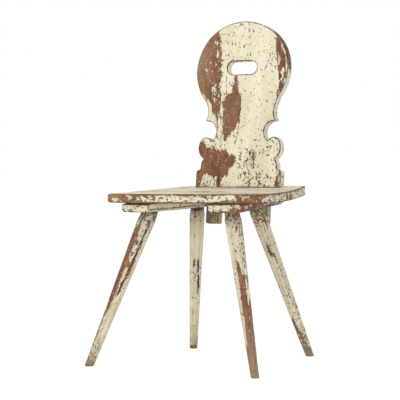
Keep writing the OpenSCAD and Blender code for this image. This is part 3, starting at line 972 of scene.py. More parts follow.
def back_fields(m, points, outline, hole_middle):
    """Fields of the plank, whose front and back faces are weathered apart."""
    across, up, depth = points.T
    flat = points[:, :2]
    front = depth < m.plank_t / 2
    bare = np.minimum(patches(flat, BACK_BARE), -patches(flat, BACK_LEFT_ON))
    rear = -6 + 5.5 * rough(points * (1, 0.5, 1), 60, seed=21)
    rear = np.maximum(rear, patches(flat, BACK_REAR_BARE))
    wall = np.minimum(depth, m.plank_t - depth)
    cut = np.clip((wall - 1.5) / 2, 0, 1)
    edge_bare = patches(flat, BACK_EDGE_BARE) - 3
    away = -inside(flat, outline)
    # On the right a thin line of cream stays along the outline
    bare = np.where(across > 70, np.minimum(bare, -1.3 * away - 4), bare)
    bare = np.where(front, bare, rear) * (1 - cut) + edge_bare * cut
    away = np.minimum(np.hypot(away, depth), np.hypot(away, m.plank_t - depth))
    hole = flat - hole_middle
    reach = np.hypot(np.maximum(np.abs(hole[:, 0]) - (m.hole_w - m.hole_h) / 2, 0), hole[:, 1])
    rim = np.abs(reach - m.hole_h / 2)
    rim = np.minimum(np.hypot(rim, depth), np.hypot(rim, m.plank_t - depth))
    arris = np.minimum(np.abs(away), rim)
    specks = 0.1 + spread(flat, [
        (25, 60, 42, 42, 0.5), (48, 35, 55, 28, 0.55), (90, 20, 40, 22, 0.42),
        (-80, 16, 60, 14, 0.3), (0, 425, 60, 30, 0.1), (-20, 360, 40, 60, 0.14),
        (-76, 262, 16, 34, 0.6), (-66, 340, 8, 60, 0.35), (-104, 300, 30, 60, 0.1),
        (75, 350, 30, 40, 0.13), (-55, 120, 40, 30, 0.25), (100, 110, 30, 50, 0.2)])
    return {
        "place": np.column_stack([across, depth, up]) * MM,
        "bare": np.clip(bare, -30, 30),
        "worn": -7 - 9 * cut + 7 * rough(points * (1, 0.4, 1), 50, seed=31)
                + 9 * spread(flat, [(-118, 262, 18, 50, 1), (-26, 206, 22, 12, 1),
                                    (122, 12, 14, 40, 1.2)])
                - 6 * spread(flat, [(110, 350, 30, 90, 1)]),
        "arris": np.minimum(arris, 30),
        "specks": np.where(front, specks, 0.22 + 0.2 * rough(points, 80, seed=41)),
        "grime": spread(flat, [(0, 0, 400, 9, 0.8), (80, 50, 110, 60, 0.15),
                               (-28, 205, 34, 60, 0.4),
                               (-125, 345, 36, 90, 0.9), (-84, 370, 30, 50, 0.4)]),
        "shade": np.clip(2.2 * np.exp(-(up / 3.6) ** 2) * (0.5 + rough(points, 14, seed=43)), 0, 1)
                 + np.where((across > 70) & (up > 318), 0.22, 0) * cut
                 + spread(flat, [(-72, 72, 50, 40, 0.09)]),
        "crack_a": line_field(across, up, ((105, -13), (143, -8), (168, -4), (180, -3)),
                              np.where(front, 0.7, 0)),
        "crack_b": line_field(across, up, ((248, -45), (280, -46), (308, -47)),
                              np.where(front, 0.9, 0)),
        "crack_c": line_field(across, up, ((0, -58), (18, -57), (34, -58)),
                              np.where(front, 1.4, 0)),
        "crack_d": line_field(up, across, ((38, 129), (50, 130), (64, 129)),
                              np.where(front, 1.3, 0)),
    }


# -- Seat --

def seat_outline(m, step):
    """The seat's closed outline, anticlockwise from the middle of the front edge.

    Its right half is a parabola along the front, a quadratic bend round the corner, a side
    that bows as another parabola, and a small arc at the back corner."""
    corner = m.front_x - m.corner_w
    x = np.linspace(0, corner, 60)
    front = np.column_stack([x, front_edge_y(m, x)])
    t = np.linspace(0, 1, 30)[1:, None]
    blunt = 3                        # millimetres by which the bend's guide misses the corner
    tip = np.array([m.front_x - blunt, m.corner_y + blunt])
    end = np.array([m.front_x, m.corner_y + m.corner_d])
    bend = (1 - t) ** 2 * front[-1] + 2 * t * (1 - t) * tip + t ** 2 * end
    t = np.linspace(0, 1, 80)[1:]
    turn_y = m.back_y - m.back_corner
    side = np.column_stack([
        m.front_x + (m.back_w / 2 - m.front_x) * t + m.side_bow * 4 * t * (1 - t),
        end[1] + (turn_y - end[1]) * t])
    back = oval((m.back_w / 2 - m.back_corner, turn_y), m.back_corner, m.back_corner, 15, 90, 1)
    half = np.concatenate([front, bend, side, back])
    return even(np.concatenate([half, half[:0:-1] * (-1, 1)]), step)


def seat_shell(m, step=3.4):
    """The seat board: rings from the middle of its top, round its edges, to the middle below.

    Every ring is the outline drawn in towards the middle. The whole board is lifted by the
    square of the distance from its middle line, which cups it."""
    outer = seat_outline(m, step)
    flat = np.column_stack([outer, np.zeros(len(outer))])
    outer = outer + outward_2d(outer) * (rough(flat, 60, seed=5, layers=2) * 0.4 - 0.2)[:, None]
    radius = 2.6 + 0.7 * rough(flat, 35, seed=8, layers=2)
    radius = radius + 4.5 * spread(outer, [(-225, -165, 45, 45, 1), (-234, -100, 30, 60, 0.7)])
    radius = np.clip(radius, 1.5, 7.5)
    inner = outer - outward_2d(outer) * radius[:, None]
    middle = np.array([0.0, m.mid_y])
    draw = np.linspace(0, 1, 60)[:-1]
    edge = turned_edge(inner, outer, 0.0, -m.thick, radius, steps=5, wall=7)
    rings = [np.column_stack([middle + (inner - middle) * t, np.zeros(len(inner))])
             for t in draw]
    under = [ring - (0, 0, m.thick) for ring in rings[::-1]]
    grid = np.concatenate([rings, edge, under])
    along = np.arange(len(outer)) * step
    along = np.where(along > along[-1] / 2, along - along[-1] - step, along)
    extra = np.tile(along, len(grid))
    points, squares, triangles, run_of = weld(grid.reshape(-1, 3),
                                              grid_faces(len(grid), len(outer)), extra)
    points[:, 2] += cup_rise(m, points[:, 1])
    return (points, squares, triangles), run_of, outer


# Patches on the seat's edge, as (distance along it from the middle of the front, depth)
SEAT_EDGE_BARE = (
    ((-300, 4), (-210, 4), (-210, -28), (-290, -28)),
    ((-215, 4), (-104, 4), (-110, -7), (-120, -14), (-134, -28), (-215, -28)),
    ((-110, 4), (175, 4), (175, -2.4), (60, -4.2), (10, -3.0), (-20, -2.4), (-100, -4.6)),
    ((-98, -3), (-88, -3), (-72, -15), (-80, -18)),
    ((-80, -6), (-72, -5), (-62, -13), (-68, -16)),
    ((175, -18), (60, -21), (-20, -21), (-130, -20), (-130, -28), (175, -28)),
    ((166, 4), (240, 4), (248, -6), (242, -14), (238, -28), (172, -28), (168, -10)),
    ((238, 4), (330, 4), (330, -2.6), (270, -4.5), (248, -7)),
    ((380, 0), (394, -3), (404, -13), (398, -26), (384, -22), (388, -12)),
    ((408, -8), (424, -3), (440, -12), (434, -25), (416, -19)),
    ((452, 2), (520, 2), (520, -2), (460, -4)),
)
SEAT_EDGE_LEFT_ON = (
    ((-150, -3), (-134, -3), (-126, -11), (-142, -14)),
    ((-318, -5), (-300, -5), (-290, -10), (-302, -14), (-318, -12)),
    ((-196, -13), (-176, -11), (-168, -17), (-190, -19)),
    ((-122, -6), (-112, -5), (-106, -10), (-118, -12)),
    ((176, -4), (200, -4), (210, -12), (186, -15)),
)


def seat_fields(m, points, run_of, outline):
    """Fields of the seat board: smooth rubbed top, beaten edge, plain worn underside."""
    x, y, z = points.T
    z = z - cup_rise(m, y)
    flat = points[:, :2]
    away = inside(flat, outline)
    top = z > -1.5
    under = z < 1.5 - m.thick
    rolled = np.column_stack([run_of, z])
    edge = np.minimum(patches(rolled, SEAT_EDGE_BARE), -patches(rolled, SEAT_EDGE_LEFT_ON))
    drawn_to = 520                   # millimetres of edge each way that the patches describe
    edge = np.where(np.abs(run_of) > drawn_to, -5 + 6 * rough(points, 30, seed=61), edge)
    edge = np.maximum(edge, -6.2 + 9 * rough(points * (0.6, 1, 1.6), 13, seed=63))
    face = -9.5 + 9 * rough(points * (0.22, 1, 1), 42, seed=51, layers=4)
    below = -2 + 7 * rough(points * (0.35, 1, 1), 70, seed=71)
    reach = np.clip(away / 7, 0, 1)
    bare = np.where(top, edge * (1 - reach) + face * reach,
                    np.where(under, edge * (1 - reach) + below * reach, edge))
    arris = np.minimum(np.hypot(away, z), np.hypot(away, z + m.thick))
    specks = spread(rolled, [(0, -12, 170, 14, 0.3), (560, -12, 70, 14, 0.6),
                             (340, -12, 160, 14, 0.5), (-150, -10, 40, 12, 0.25)])
    plank = spread(flat, [(0, m.plank_y, 165, 9, 0.9)])
    worn_top = np.clip(0.16 + x / 1200 + 0.6 * rough(points * (0.2, 1, 1), 60, seed=91)
                       + 0.4 * np.exp(-(away / 16) ** 2) * (x > -60), 0, 1)
    return {
        "place": np.column_stack([y, z, x]) * MM,
        "bare": np.clip(bare, -30, 30),
        "worn": -6 + 6 * rough(points, 40, seed=81)
                + np.where(away < 14, 16, 0) * spread(rolled, [(-226, -11, 44, 40, 1.6),
                                                               (205, -14, 40, 20, 0.42),
                                                               (420, -12, 60, 20, 0.5),
                                                               (0, -25, 190, 8, 0.8)])
                + np.where(under, 5, 0),
        "arris": np.minimum(np.abs(arris), 30),
        "specks": np.where(top & (away > 6), 0.06, np.where(under, 0.2, 0.1) + specks),
        "grime": np.where(top, np.maximum(worn_top, plank), np.where(under, 0.55, 0.15)),
        "shade": np.where(top, spread(flat, [(12, m.plank_y - 22, 52, 9, 0.4)]), 0),
        "crack_a": line_field(y, x, ((-40, -76), (10, -79), (60, -77)), np.where(top, 0.7, 0)),
        "crack_b": line_field(y, x, ((-200, 60), (-60, 66)), np.where(under, 0.8, 0)),
    }


# -- Battens --

def batten_corners(m):
    """The six corners of a batten's bevelled profile, across it and up from its top."""
    w, t, b = m.batten_w / 2, m.batten_t, m.bevel
    return [(-w, 0), (-w, b - t), (b - w, -t), (w - b, -t), (w, b - t), (w, 0)]


def batten_shell(m):
    """A batten: its bevelled profile carried back along it, with drawn-in rounded ends."""
    profile = rounded(batten_corners(m), [2.4, 2.2, 2.2, 2.2, 2.2, 2.4], 2.4)
    long = (m.batten_back_y - m.batten_y) / math.cos(m.toe_in)

    def shrink(stations):
        """The front corners' round, seen from below."""
        near = np.clip(1 - stations / m.end_corner, 0, 1)
        return np.column_stack([m.end_corner * (1 - np.sqrt(1 - near ** 2)) * 0.6, 0 * near])

    return rounded_bar(profile, (0, long), 2.2, shrink), long


def fitted(m, points, start):
    """A batten's points, its top lifted to follow the cupped seat from some way behind its front.

    The lift stops one gap short, so that the top lies two gaps under the seat."""
    along = points[:, 1]
    lift = cup_rise(m, m.batten_y + along * math.cos(m.toe_in)) - FIT_GAP
    lift = lift * np.clip((along - start) / 9, 0, 1)
    return points + np.outer(lift * np.clip(1 + points[:, 2] / m.batten_t, 0, 1), (0, 0, 1))


BATTEN_BARE = {
    LEFT: (
        # (distance round the end and along the right-hand side, height)
        ((-44, -15), (-38, -17), (-24, -21), (-12, -22), (-46, -23)),
        ((-18, -13), (-10, -16), (-2, -22), (-22, -22)),
        ((250, -21), (330, -18), (390, -18), (390, -24), (250, -24)),
    ),
    RIGHT: (
        ((-40, -17), (-10, -15), (20, -12), (46, -9), (50, -24), (-40, -24)),
        ((46, 2), (170, 2), (170, -24), (52, -24), (40, -14)),
        ((170, 2), (300, 0), (390, 0), (390, -6), (300, -8), (170, -10)),
        ((170, -16), (390, -14), (390, -24), (170, -24)),
    ),
}
BATTEN_LEFT_ON = {
    RIGHT: (((70, -8), (90, -6), (100, -10), (80, -13)),
            ((112, -5), (135, -4), (140, -9), (118, -10))),
}


def batten_fields(m, points, side, long):
    """Fields of a batten. Its front end and its right-hand side are rolled out into one strip."""
    x, y, z = points.T
    w, t = m.batten_w / 2, m.batten_t
    rolled = np.column_stack([np.where(y < 4, x, np.where(x > 0, w + y, -w - y)), z])
    shown = (y < 4) | (x > 0)
    bare = patches(rolled, BATTEN_BARE[side])
    if side in BATTEN_LEFT_ON:
        bare = np.minimum(bare, -patches(rolled, BATTEN_LEFT_ON[side]))
    plain = -3 + 6 * rough(points * (1, 0.4, 1), 45, seed=100 + side)
    under = z < 0.8 - t
    bare = np.where(shown & ~under, bare, plain)
    corners = np.array(batten_corners(m))
    gap = np.linalg.norm(points[:, None, [0, 2]] - corners[None], axis=2).min(axis=1)
    ends = np.minimum(np.abs(y), np.abs(long - y))
    skin = np.minimum(np.minimum(w - np.abs(x), -z), t + z)
    arris = np.minimum(gap, np.hypot(ends, np.abs(skin)))
    apart = 0.31 * (side + 2)        # metres, so that the two battens don't match
    return {
        "place": np.column_stack([x, z, y]) * MM + apart,
        "bare": np.clip(bare, -30, 30),
        "worn": -6 + 7 * rough(points, 35, seed=110 + side)
                + np.where(side == RIGHT, 14, 5) * spread(rolled, [(20, -18, 45, 6, 1),
                                                                   (260, -8, 90, 12, 0.6)]),
        "arris": np.minimum(arris, 30),
        "specks": 0.16 + 0.3 * spread(rolled, [(20, -8, 20, 8, 1), (200, -14, 120, 8, 0.7)]),
        "grime": np.where(under, 0.5, 0.03),
        "shade": np.clip((z + 2.4) / 2.0, 0, 1) * np.where(y < 4, 0.95, 0.65),
        "crack_a": line_field(z, x, ((-44, -8), (-20, -14), (0, -19)), np.where(y < 4, 0.5, 0)),
    }


# -- Legs --

def first_corner(side):
    """Degrees round a leg at which its first corner stands: the two sides are turned apart."""
    return 22.5 if side == LEFT else 0


def leg_shell(m, end, side, step=3.0):
    """A leg: an octagon with soft arrises carried from the floor up to its batten.

    Each corner line runs from the level floor to the leaning batten, so both ends are cut
    true. The width goes in a straight taper to the neck, and the foot's edge is rounded."""
    foot, right, level, along, reach = leg_axis(m, end, side)
    width = m.front_leg_w if end == "front" else m.back_leg_w
    corner = 1 / math.cos(math.pi / 8) / 2
    turn = np.radians(first_corner(side) + 45 * np.arange(8))
    ring = rounded(np.stack([np.cos(turn), np.sin(turn)], axis=-1) * corner, 0.07, 0.075)
    heights = np.concatenate([np.linspace(0, reach - m.neck, round(reach / step)),
                              np.linspace(reach - m.neck, reach, 9)[1:]])
    taper = m.foot_w + (width - m.foot_w) * np.clip(heights / (reach - m.neck), 0, 1)
    neck = 1 - (1 - m.neck_share) * np.clip((heights - reach + m.neck) / m.neck, 0, 1) ** 0.8
    widths = taper * neck

    def placed(height, wide):
        """A ring across the leg, sheared so that it is level at the floor and at the batten."""
        flat = ring * wide
        across = flat[:, :1] * right + flat[:, 1:] * level
        floor = -across[:, 2] / along[2]
        normal = seat_to_floor(m, np.array([[0, 0, 1.0]]))[0] - seat_to_floor(
            m, np.zeros((1, 3)))[0]
        batten = -(across @ normal) / (along @ normal)
        share_up = height / reach
        lift = height + floor * (1 - share_up) + batten * share_up
        return foot + across + lift[:, None] * along, np.column_stack([flat, lift])

    round_r = 2.6
    loops = [placed(0, widths[0] * t) for t in np.linspace(0, 1 - 2 * round_r / m.foot_w, 5)]
    for a in np.linspace(0, math.pi / 2, 5)[1:-1]:
        loops.append(placed(round_r * (1 - math.cos(a)),
                            widths[0] - 2 * round_r * (1 - math.sin(a))))
    first = np.searchsorted(heights, round_r)
    loops += [placed(h, w) for h, w in zip(heights[first:], widths[first:])]
    sunk = 0.2                       # millimetres by which the hidden top is dished
    loops += [placed(reach - sunk, widths[-1] * t) for t in (0.66, 0.33, 0)]
    world = np.array([loop[0] for loop in loops])
    own = np.array([loop[1] for loop in loops])
    points, squares, triangles, local = weld(world.reshape(-1, 3),
                                             grid_faces(len(world), len(ring)),
                                             own.reshape(-1, 3))
    return (points, squares, triangles), local, reach


# Patches on the legs, as (degrees round the leg, height)
LEG_BARE = {
    ("front", LEFT): (
        ((231, 400), (234, 370), (237, 296), (241, 211), (236, 165), (226, 140), (214, 150),
         (190, 180), (140, 190), (140, 366), (200, 380), (220, 390)),
        ((226, 426), (244, 426), (240, 412), (228, 408)),
        ((276, 380), (282, 345), (279, 300), (268, 262), (260, 222), (256, 196), (264, 196),
         (276, 232), (286, 262), (290, 300), (290, 345), (285, 385)),
        ((248, 350), (264, 350), (264, 338), (248, 338)),
        ((244, 320), (260, 318), (260, 308), (244, 308)),
        ((246, 288), (258, 288), (258, 278), (246, 278)),
        ((0, -5), (360, -5), (360, 10), (300, 14), (270, 19), (240, 16), (200, 24), (0, 18)),
        ((204, 150), (212, 120), (206, 80), (198, 60), (196, 110)),
        ((246, 130), (252, 106), (250, 70), (244, 100)),
    ),
    ("front", RIGHT): (
        ((136, 304), (138, 262), (137, 200), (133, 150), (130, 110), (122, 92), (112, 76),
         (0, 66), (0, -5), (360, -5), (360, 66), (240, 110), (232, 190), (208, 205),
         (196, 262), (176, 268), (166, 286), (152, 296)),
        ((160, 426), (192, 426), (194, 414), (182, 406), (172, 410)),
        ((202, 262), (216, 260), (212, 232), (200, 236)),
    ),
    ("back", RIGHT): (
        ((38, 350), (58, 334), (62, 306), (48, 298), (36, 320)),
        ((0, 112), (20, 122), (34, 100), (46, 80), (60, 52), (80, 32), (110, 26), (360, 30),
         (360, -5), (0, -5)),
        ((22, 426), (50, 426), (56, 412), (40, 404), (26, 410)),
        ((84, 426), (114, 426), (108, 392), (96, 380), (84, 398)),
    ),
    ("back", LEFT): (
        ((328, 290), (350, 286), (348, 266), (338, 262), (328, 270)),
        ((0, -5), (360, -5), (360, 14), (330, 18), (300, 12), (0, 16)),
        ((332, 438), (348, 438), (346, 426), (340, 418), (334, 426)),
        ((20, 236), (40, 230), (42, 196), (24, 200)),
    ),
}
LEG_LEFT_ON = {
    ("front", RIGHT): (
        ((190, 262), (208, 250), (210, 214), (200, 176), (186, 184), (184, 230)),
        ((182, 172), (194, 168), (194, 146), (184, 148)),
        ((186, 140), (196, 136), (198, 100), (190, 98)),
    ),
}
# Where a leg's bare patches go down to the wood, in millimetres round it and up it
LEG_AMBER = {
    ("front", LEFT): ((71, 235, 1.6, 70, 1),),
    ("front", RIGHT): ((61.5, 232, 2.2, 34, 1), (60, 160, 1.8, 30, 1)),
}
LEG_CRACKS = {
    ("front", LEFT): (((196, 260), (252, 265), (310, 279), (384, 283), (414, 281)), 2.0),
    ("front", RIGHT): (((376, 168), (400, 172)), 1.6),
    ("back", RIGHT): (((172, 72), (254, 79), (335, 68), (407, 74)), 1.0),
    ("back", LEFT): (((176, 28), (230, 24), (290, 15)), 2.6),
}


def leg_fields(local, reach, end, side, seed):
    """Fields of a leg, rolled out flat: degrees round it become millimetres on its skin."""
    x, y, up = local.T
    turn = np.degrees(np.arctan2(y, x)) % 360
    skin = 0.30                      # millimetres for each degree round a leg
    rolled = np.column_stack([turn * skin, up])
    scale = np.array([skin, 1])
    key = (end, side)
    bare = patches(rolled, [np.array(p) * scale for p in LEG_BARE[key]])
    if key in LEG_LEFT_ON:
        bare = np.minimum(bare, -patches(rolled, [np.array(p) * scale
                                                  for p in LEG_LEFT_ON[key]]))
    bare = np.maximum(bare, -9 + 6 * rough(local * (1, 1, 0.3), 30, seed=seed))
    corner = first_corner(side)
    arris = np.abs((turn - corner + 22.5) % 45 - 22.5) * np.radians(1) * np.hypot(x, y)
    knots, half_width = LEG_CRACKS[key]
    knots = [(h, a * skin) for h, a in knots]
    down = reach - up                # millimetres below the batten
    front_right, back_left = key == ("front", RIGHT), key == ("back", LEFT)
    apart = 0.47 * seed              # metres, so that no two legs match
    own_specks = {("back", RIGHT): 0.08, ("back", LEFT): -0.1}.get(key, 0)
    return {
        "place": np.column_stack([x, y, up]) * MM + apart,
        "bare": np.clip(bare, -30, 30),
        "worn": -7 + 6 * rough(local * (1, 1, 0.3), 40, seed=seed + 5)
                + (15 if back_left else -6) * np.exp(-(up / 60) ** 2)
                + 7 * np.exp(-(down / 34) ** 2)
                + 16 * spread(rolled, LEG_AMBER.get(key, ())),
        "arris": np.minimum(arris, np.abs(up)),
        "specks": 0.14 + 0.14 * rough(local * (1, 1, 0.5), 60, seed=seed + 3)
                  + own_specks + 0.42 * np.exp(-(down / 34) ** 2)
                  + (-0.2 if front_right else 0.2) * np.exp(-(up / 90) ** 2)
                  + front_right * 0.5 * np.exp(-((turn - 216) / 20) ** 2)
                  * np.clip((up - 240) / 30, 0, 1),
        "grime": 0.14 + 1.3 * np.exp(-(down / 36) ** 2)
                 + 1.2 * np.exp(-(up / (120 if front_right else 70)) ** 2),
        "shade": 0.75 * np.exp(-(down / 5) ** 2)
                 + 0.5 * np.exp(-(down / 26) ** 2)
                 * np.clip(0.35 + rough(local * (1, 1, 0.6), 14, seed=seed + 7), 0, 1),
        "crack_a": line_field(turn * skin, up, knots, half_width),
    }


# ---- Operators ----

class CHAIR_OT_seat(bpy.types.Operator):
    """Build the seat board"""
    bl_idname = "chair.seat"
    bl_label = "Seat"

    def execute(self, context):
        m = measures(context.scene)
        (points, squares, triangles), run_of, outline = seat_shell(m)
        fields = seat_fields(m, points, run_of, outline)
        points, squares, triangles = weathered((points, squares, triangles), fields, seed=1)
        material = peeling_paint("seat paint", context.scene.chair_finish, yellow=0.12, grime=0.26,
                                 ragged=0.7, edge_wear=2.4, rub=0.6)
        make_piece("seat_board", seat_to_floor(m, points), squares, triangles, fields, material,
                   ["seat"])
        return {"FINISHED"}


class CHAIR_OT_battens(bpy.types.Operator):
    """Build the two battens under the seat"""
    bl_idname = "chair.battens"
    bl_label = "Battens"

    def execute(self, context):
        m = measures(context.scene)
        material = peeling_paint("batten paint", context.scene.chair_finish, yellow=0.3,
                                 grime=0.3, edge_wear=-0.5, rub=0.7)
        for word, side in SIDES.items():
            shell, long = batten_shell(m)
            fields = batten_fields(m, shell[0], side, long)
            points, squares, triangles = weathered(shell, fields, seed=20 + side)
            points = fitted(m, points, 7 if side == LEFT else -5)
            make_piece(f"{word}_batten_bar", batten_to_floor(m, points, side), squares,
                       triangles, fields, material, [f"{word}_batten"])
        return {"FINISHED"}


class CHAIR_OT_legs(bpy.types.Operator):
    """Build the four legs"""
    bl_idname = "chair.legs"
    bl_label = "Legs"

    def execute(self, context):
        m = measures(context.scene)
        material = peeling_paint("leg paint", context.scene.chair_finish, yellow=0.7,
                                 grime=0.3, ragged=0.42, edge_wear=-2.2, rub=0.15)
        for seed, (end, (word, side)) in enumerate(product(("front", "back"), SIDES.items())):
            shell, local, reach = leg_shell(m, end, side)
            fields = leg_fields(local, reach, end, side, 3 * seed + 1)
            points, squares, triangles = weathered(shell, fields, seed=30 + seed)
            points[:, 2] = np.maximum(points[:, 2], 0)
            make_piece(f"{end}_{word}_shaft", points, squares, triangles, fields, material,
                       [f"{end}_{word}_leg"])
        return {"FINISHED"}


class CHAIR_OT_back(bpy.types.Operator):
    """Build the plank back"""
    bl_idname = "chair.back"
    bl_label = "Back"

    def execute(self, context):
        m = measures(context.scene)
        material = peeling_paint("back paint", context.scene.chair_finish, yellow=0.3, grime=0.2)
        shell, outline, hole_middle = back_shell(m)
        fields = back_fields(m, shell[0], outline, hole_middle)
        points, squares, triangles = weathered(shell, fields, seed=40)
        make_piece("back_plank", plank_to_floor(m, points), squares, triangles, fields, material,
                   ["back"])
        return {"FINISHED"}


class CHAIR_OT_tenons(bpy.types.Operator):
    """Build the plank's two tenons, where they show under the battens"""
    bl_idname = "chair.tenons"
    bl_label = "Tenons"

    def execute(self, context):
        m = measures(context.scene)
        material = peeling_paint("tenon paint", context.scene.chair_finish, yellow=1.0,
                                 grime=1.0)
        w, r = m.tenon_w / 2, m.tenon_corner
        low = m.under_z / math.cos(m.rake) - m.tenon_drop
        top = -22                    # millimetres: the upper end, which the seat hides
        thin = 0.3                   # millimetres in from the plank's two faces
        profile = rounded([(-w, -thin), (-w, thin - m.plank_t), (w, thin - m.plank_t),
                           (w, -thin)], 1.6, 2.0)

        def shrink(stations):
            """The lower end's round corners."""
            near = np.clip(1 - (stations - low) / r, 0, 1)
            return np.column_stack([r * (1 - np.sqrt(1 - near ** 2)) * 0.7, 0 * near])

        for seed, (word, side) in enumerate(SIDES.items()):
            points, squares, triangles = rounded_bar(profile, (low, top), 1.4, shrink)
            x, up, depth = points.T
            apart = 0.9 * seed       # metres, so that the two tenons don't match
            fields = {
                "place": np.column_stack([x, depth, up]) * MM + apart,
                "bare": -6 + 6 * rough(points * (1, 0.4, 1), 24, seed=130 + seed),
                "worn": -3 + 6 * rough(points, 30, seed=140 + seed),
                "arris": np.hypot(w - np.abs(x), np.minimum(-depth, m.plank_t + depth)),
                "specks": 0.3 + 0 * x,
                "grime": 1.0 + 0 * x,
                "shade": np.maximum(0.1 + 0.3 * np.clip((up - m.under_z + 8) / 8, 0, 1),
                                    spread(points[:, :2], [(-7 * side, m.under_z - 9.5, 8, 8, 0.9),
                                                           (-w, m.under_z, 7, 90, 0.7)])),
            }
            points, squares, triangles = weathered((points, squares, triangles), fields,
                                                   relief=0.2, seed=50 + seed)
            points = points * (1, 1, -1) + (side * m.tenon_gap / 2, 0, 0)
            make_piece(f"{word}_tenon", plank_to_floor(m, points), squares[:, ::-1],
                       triangles[:, ::-1], fields, material, [])
        return {"FINISHED"}


class CHAIR_OT_pegs(bpy.types.Operator):
    """Finish the pegs and wedges, which keep their exact shape"""
    bl_idname = "chair.pegs"
    bl_label = "Pegs and wedges"

    def execute(self, context):
        finish = context.scene.chair_finish
        woods = {"_peg": bare_wood("peg wood", finish, 0.75),
                 "_wedge": bare_wood("wedge wood", finish, 0.25)}
        for name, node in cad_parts.items():
            for ending, material in woods.items():
                if name.endswith(ending):
                    for held in node.material_slots:
                        held.material = material
        return {"FINISHED"}


LOOK_AT = Vector((0.0, -0.0178, 0.450))      # what the camera and the lamps face
CAMERA_SHIFT = (-0.022, -0.0208)             # across and up, in widths of the camera's view
SHADED_FLOOR = (0.30, 0.30, 0.30, 1)         # the part of the floor's white that darkens in shadow
FLOOR_GLOW = 0.80                            # and the part that shines by itself
SKY_LIGHT = 0.72                             # how strongly the light comes from all round


def aim(thing, target):
    """Turns a camera or lamp so that it looks at a point."""
    thing.rotation_euler = (target - thing.location).to_track_quat("-Z", "Y").to_euler()


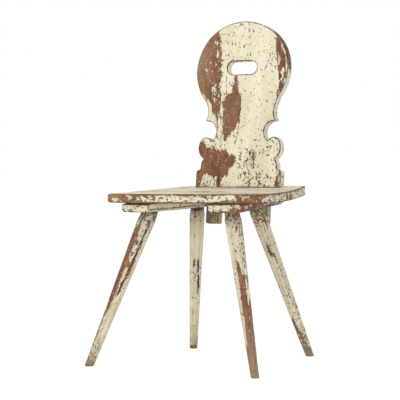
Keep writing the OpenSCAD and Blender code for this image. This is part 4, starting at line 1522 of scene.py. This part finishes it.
class CHAIR_OT_stage(bpy.types.Operator):
    """Set up the floor, the soft light and the camera"""
    bl_idname = "chair.stage"
    bl_label = "Stage"

    def execute(self, context):
        scene = context.scene
        stage = scene.chair_stage

        floor_mesh = bpy.data.meshes.new("floor")
        half = stage.floor_size / 2
        floor_mesh.from_pydata([(-half, -half, 0), (half, -half, 0), (half, half, 0),
                                (-half, half, 0)], [], [(0, 1, 2, 3)])
        floor = bpy.data.objects.new("floor", floor_mesh)
        scene.collection.objects.link(floor)
        floor.location.z = CAD_BOX[0][2]
        floor_mesh.materials.append(self.pale_floor())

        self.backdrop(scene)
        self.lamp(scene, "key", (-2.6, -3.4, 3.4), size=2.6, power=76)
        self.lamp(scene, "fill", (3.6, -3.4, 0.1), size=2.4, power=76)

        camera = bpy.data.objects.new("camera", bpy.data.cameras.new("camera"))
        scene.collection.objects.link(camera)
        across = math.cos(stage.elevation)
        camera.location = LOOK_AT + stage.distance * Vector((
            math.sin(stage.azimuth) * across, -math.cos(stage.azimuth) * across,
            math.sin(stage.elevation)))
        aim(camera, LOOK_AT)
        camera.data.sensor_width = 36
        camera.data.lens = stage.lens
        camera.data.shift_x, camera.data.shift_y = CAMERA_SHIFT
        camera.data.clip_end = 100
        scene.camera = camera
        scene.view_settings.view_transform = "Standard"
        return {"FINISHED"}

    def lamp(self, scene, name, offset, size, power):
        """A square soft lamp, aimed at the chair from an offset, with its width and watts."""
        data = bpy.data.lights.new(name, "AREA")
        data.size = size
        data.energy = power
        lamp = bpy.data.objects.new(name, data)
        scene.collection.objects.link(lamp)
        lamp.location = LOOK_AT + Vector(offset)
        aim(lamp, LOOK_AT)

    def seen(self, nodes, links):
        """1 for rays that show the backdrop: straight from the camera, mirrored or through."""
        path = nodes.new("ShaderNodeLightPath")
        total = path.outputs["Is Camera Ray"]
        for other in ("Is Glossy Ray", "Is Transmission Ray"):
            add = nodes.new("ShaderNodeMath")
            add.operation = "ADD"
            add.use_clamp = True
            links.new(total, add.inputs[0])
            links.new(path.outputs[other], add.inputs[1])
            total = add.outputs[0]
        return total

    def pale_floor(self):
        """A floor that is matt to the chair, and a glow with a faint shadow to the camera."""
        material = bpy.data.materials.new("floor")
        material.use_nodes = True
        nodes, links = material.node_tree.nodes, material.node_tree.links
        nodes.clear()
        matt = nodes.new("ShaderNodeBsdfDiffuse")
        matt.inputs["Color"].default_value = (0.86, 0.85, 0.83, 1)
        faint = nodes.new("ShaderNodeBsdfDiffuse")
        faint.inputs["Color"].default_value = SHADED_FLOOR
        glow = nodes.new("ShaderNodeEmission")
        glow.inputs["Strength"].default_value = FLOOR_GLOW
        both = nodes.new("ShaderNodeAddShader")
        mix = nodes.new("ShaderNodeMixShader")
        out = nodes.new("ShaderNodeOutputMaterial")
        links.new(faint.outputs[0], both.inputs[0])
        links.new(glow.outputs[0], both.inputs[1])
        links.new(self.seen(nodes, links), mix.inputs[0])
        links.new(matt.outputs[0], mix.inputs[1])
        links.new(both.outputs[0], mix.inputs[2])
        links.new(mix.outputs[0], out.inputs[0])
        return material

    def backdrop(self, scene):
        """A world that lights softly and shows as plain white."""
        world = bpy.data.worlds.new("studio")
        world.use_nodes = True
        scene.world = world
        nodes, links = world.node_tree.nodes, world.node_tree.links
        nodes.clear()
        light = nodes.new("ShaderNodeBackground")
        light.inputs["Color"].default_value = (1, 1, 1, 1)
        light.inputs["Strength"].default_value = SKY_LIGHT
        white = nodes.new("ShaderNodeBackground")
        white.inputs["Color"].default_value = (1, 1, 1, 1)
        white.inputs["Strength"].default_value = 1.0
        mix = nodes.new("ShaderNodeMixShader")
        out = nodes.new("ShaderNodeOutputWorld")
        links.new(self.seen(nodes, links), mix.inputs[0])
        links.new(light.outputs[0], mix.inputs[1])
        links.new(white.outputs[0], mix.inputs[2])
        links.new(mix.outputs[0], out.inputs[0])


class CHAIR_PT_panel(bpy.types.Panel):
    """Lists the chair's pieces, sizes and colours"""
    bl_idname = "CHAIR_PT_panel"
    bl_label = "Peeling plank chair"
    bl_space_type = "VIEW_3D"
    bl_region_type = "UI"
    bl_category = "Chair"

    def draw(self, context):
        for operator in OPERATORS:
            self.layout.operator(operator.bl_idname)
        for name in GROUPS:
            box = self.layout.box()
            group = getattr(context.scene, name)
            for key in type(group).__annotations__:
                box.prop(group, key)


GROUPS = {
    "chair_seat": ChairSeatSizes,
    "chair_battens": ChairBattenSizes,
    "chair_legs": ChairLegSizes,
    "chair_back": ChairBackSizes,
    "chair_finish": ChairFinish,
    "chair_stage": ChairStage,
}
OPERATORS = (CHAIR_OT_stage, CHAIR_OT_seat, CHAIR_OT_battens, CHAIR_OT_legs, CHAIR_OT_back,
             CHAIR_OT_tenons, CHAIR_OT_pegs)


def register():
    for cls in (*GROUPS.values(), *OPERATORS, CHAIR_PT_panel):
        bpy.utils.register_class(cls)
    for name, cls in GROUPS.items():
        setattr(bpy.types.Scene, name, PointerProperty(type=cls))


def unregister():
    for name in GROUPS:
        delattr(bpy.types.Scene, name)
    for cls in (CHAIR_PT_panel, *OPERATORS[::-1], *list(GROUPS.values())[::-1]):
        bpy.utils.unregister_class(cls)


def main():
    """Builds the stage and every piece in order."""
    register()
    bpy.ops.chair.stage()
    bpy.ops.chair.seat()
    bpy.ops.chair.battens()
    bpy.ops.chair.legs()
    bpy.ops.chair.back()
    bpy.ops.chair.tenons()
    bpy.ops.chair.pegs()


if __name__ == "__main__":
    main()
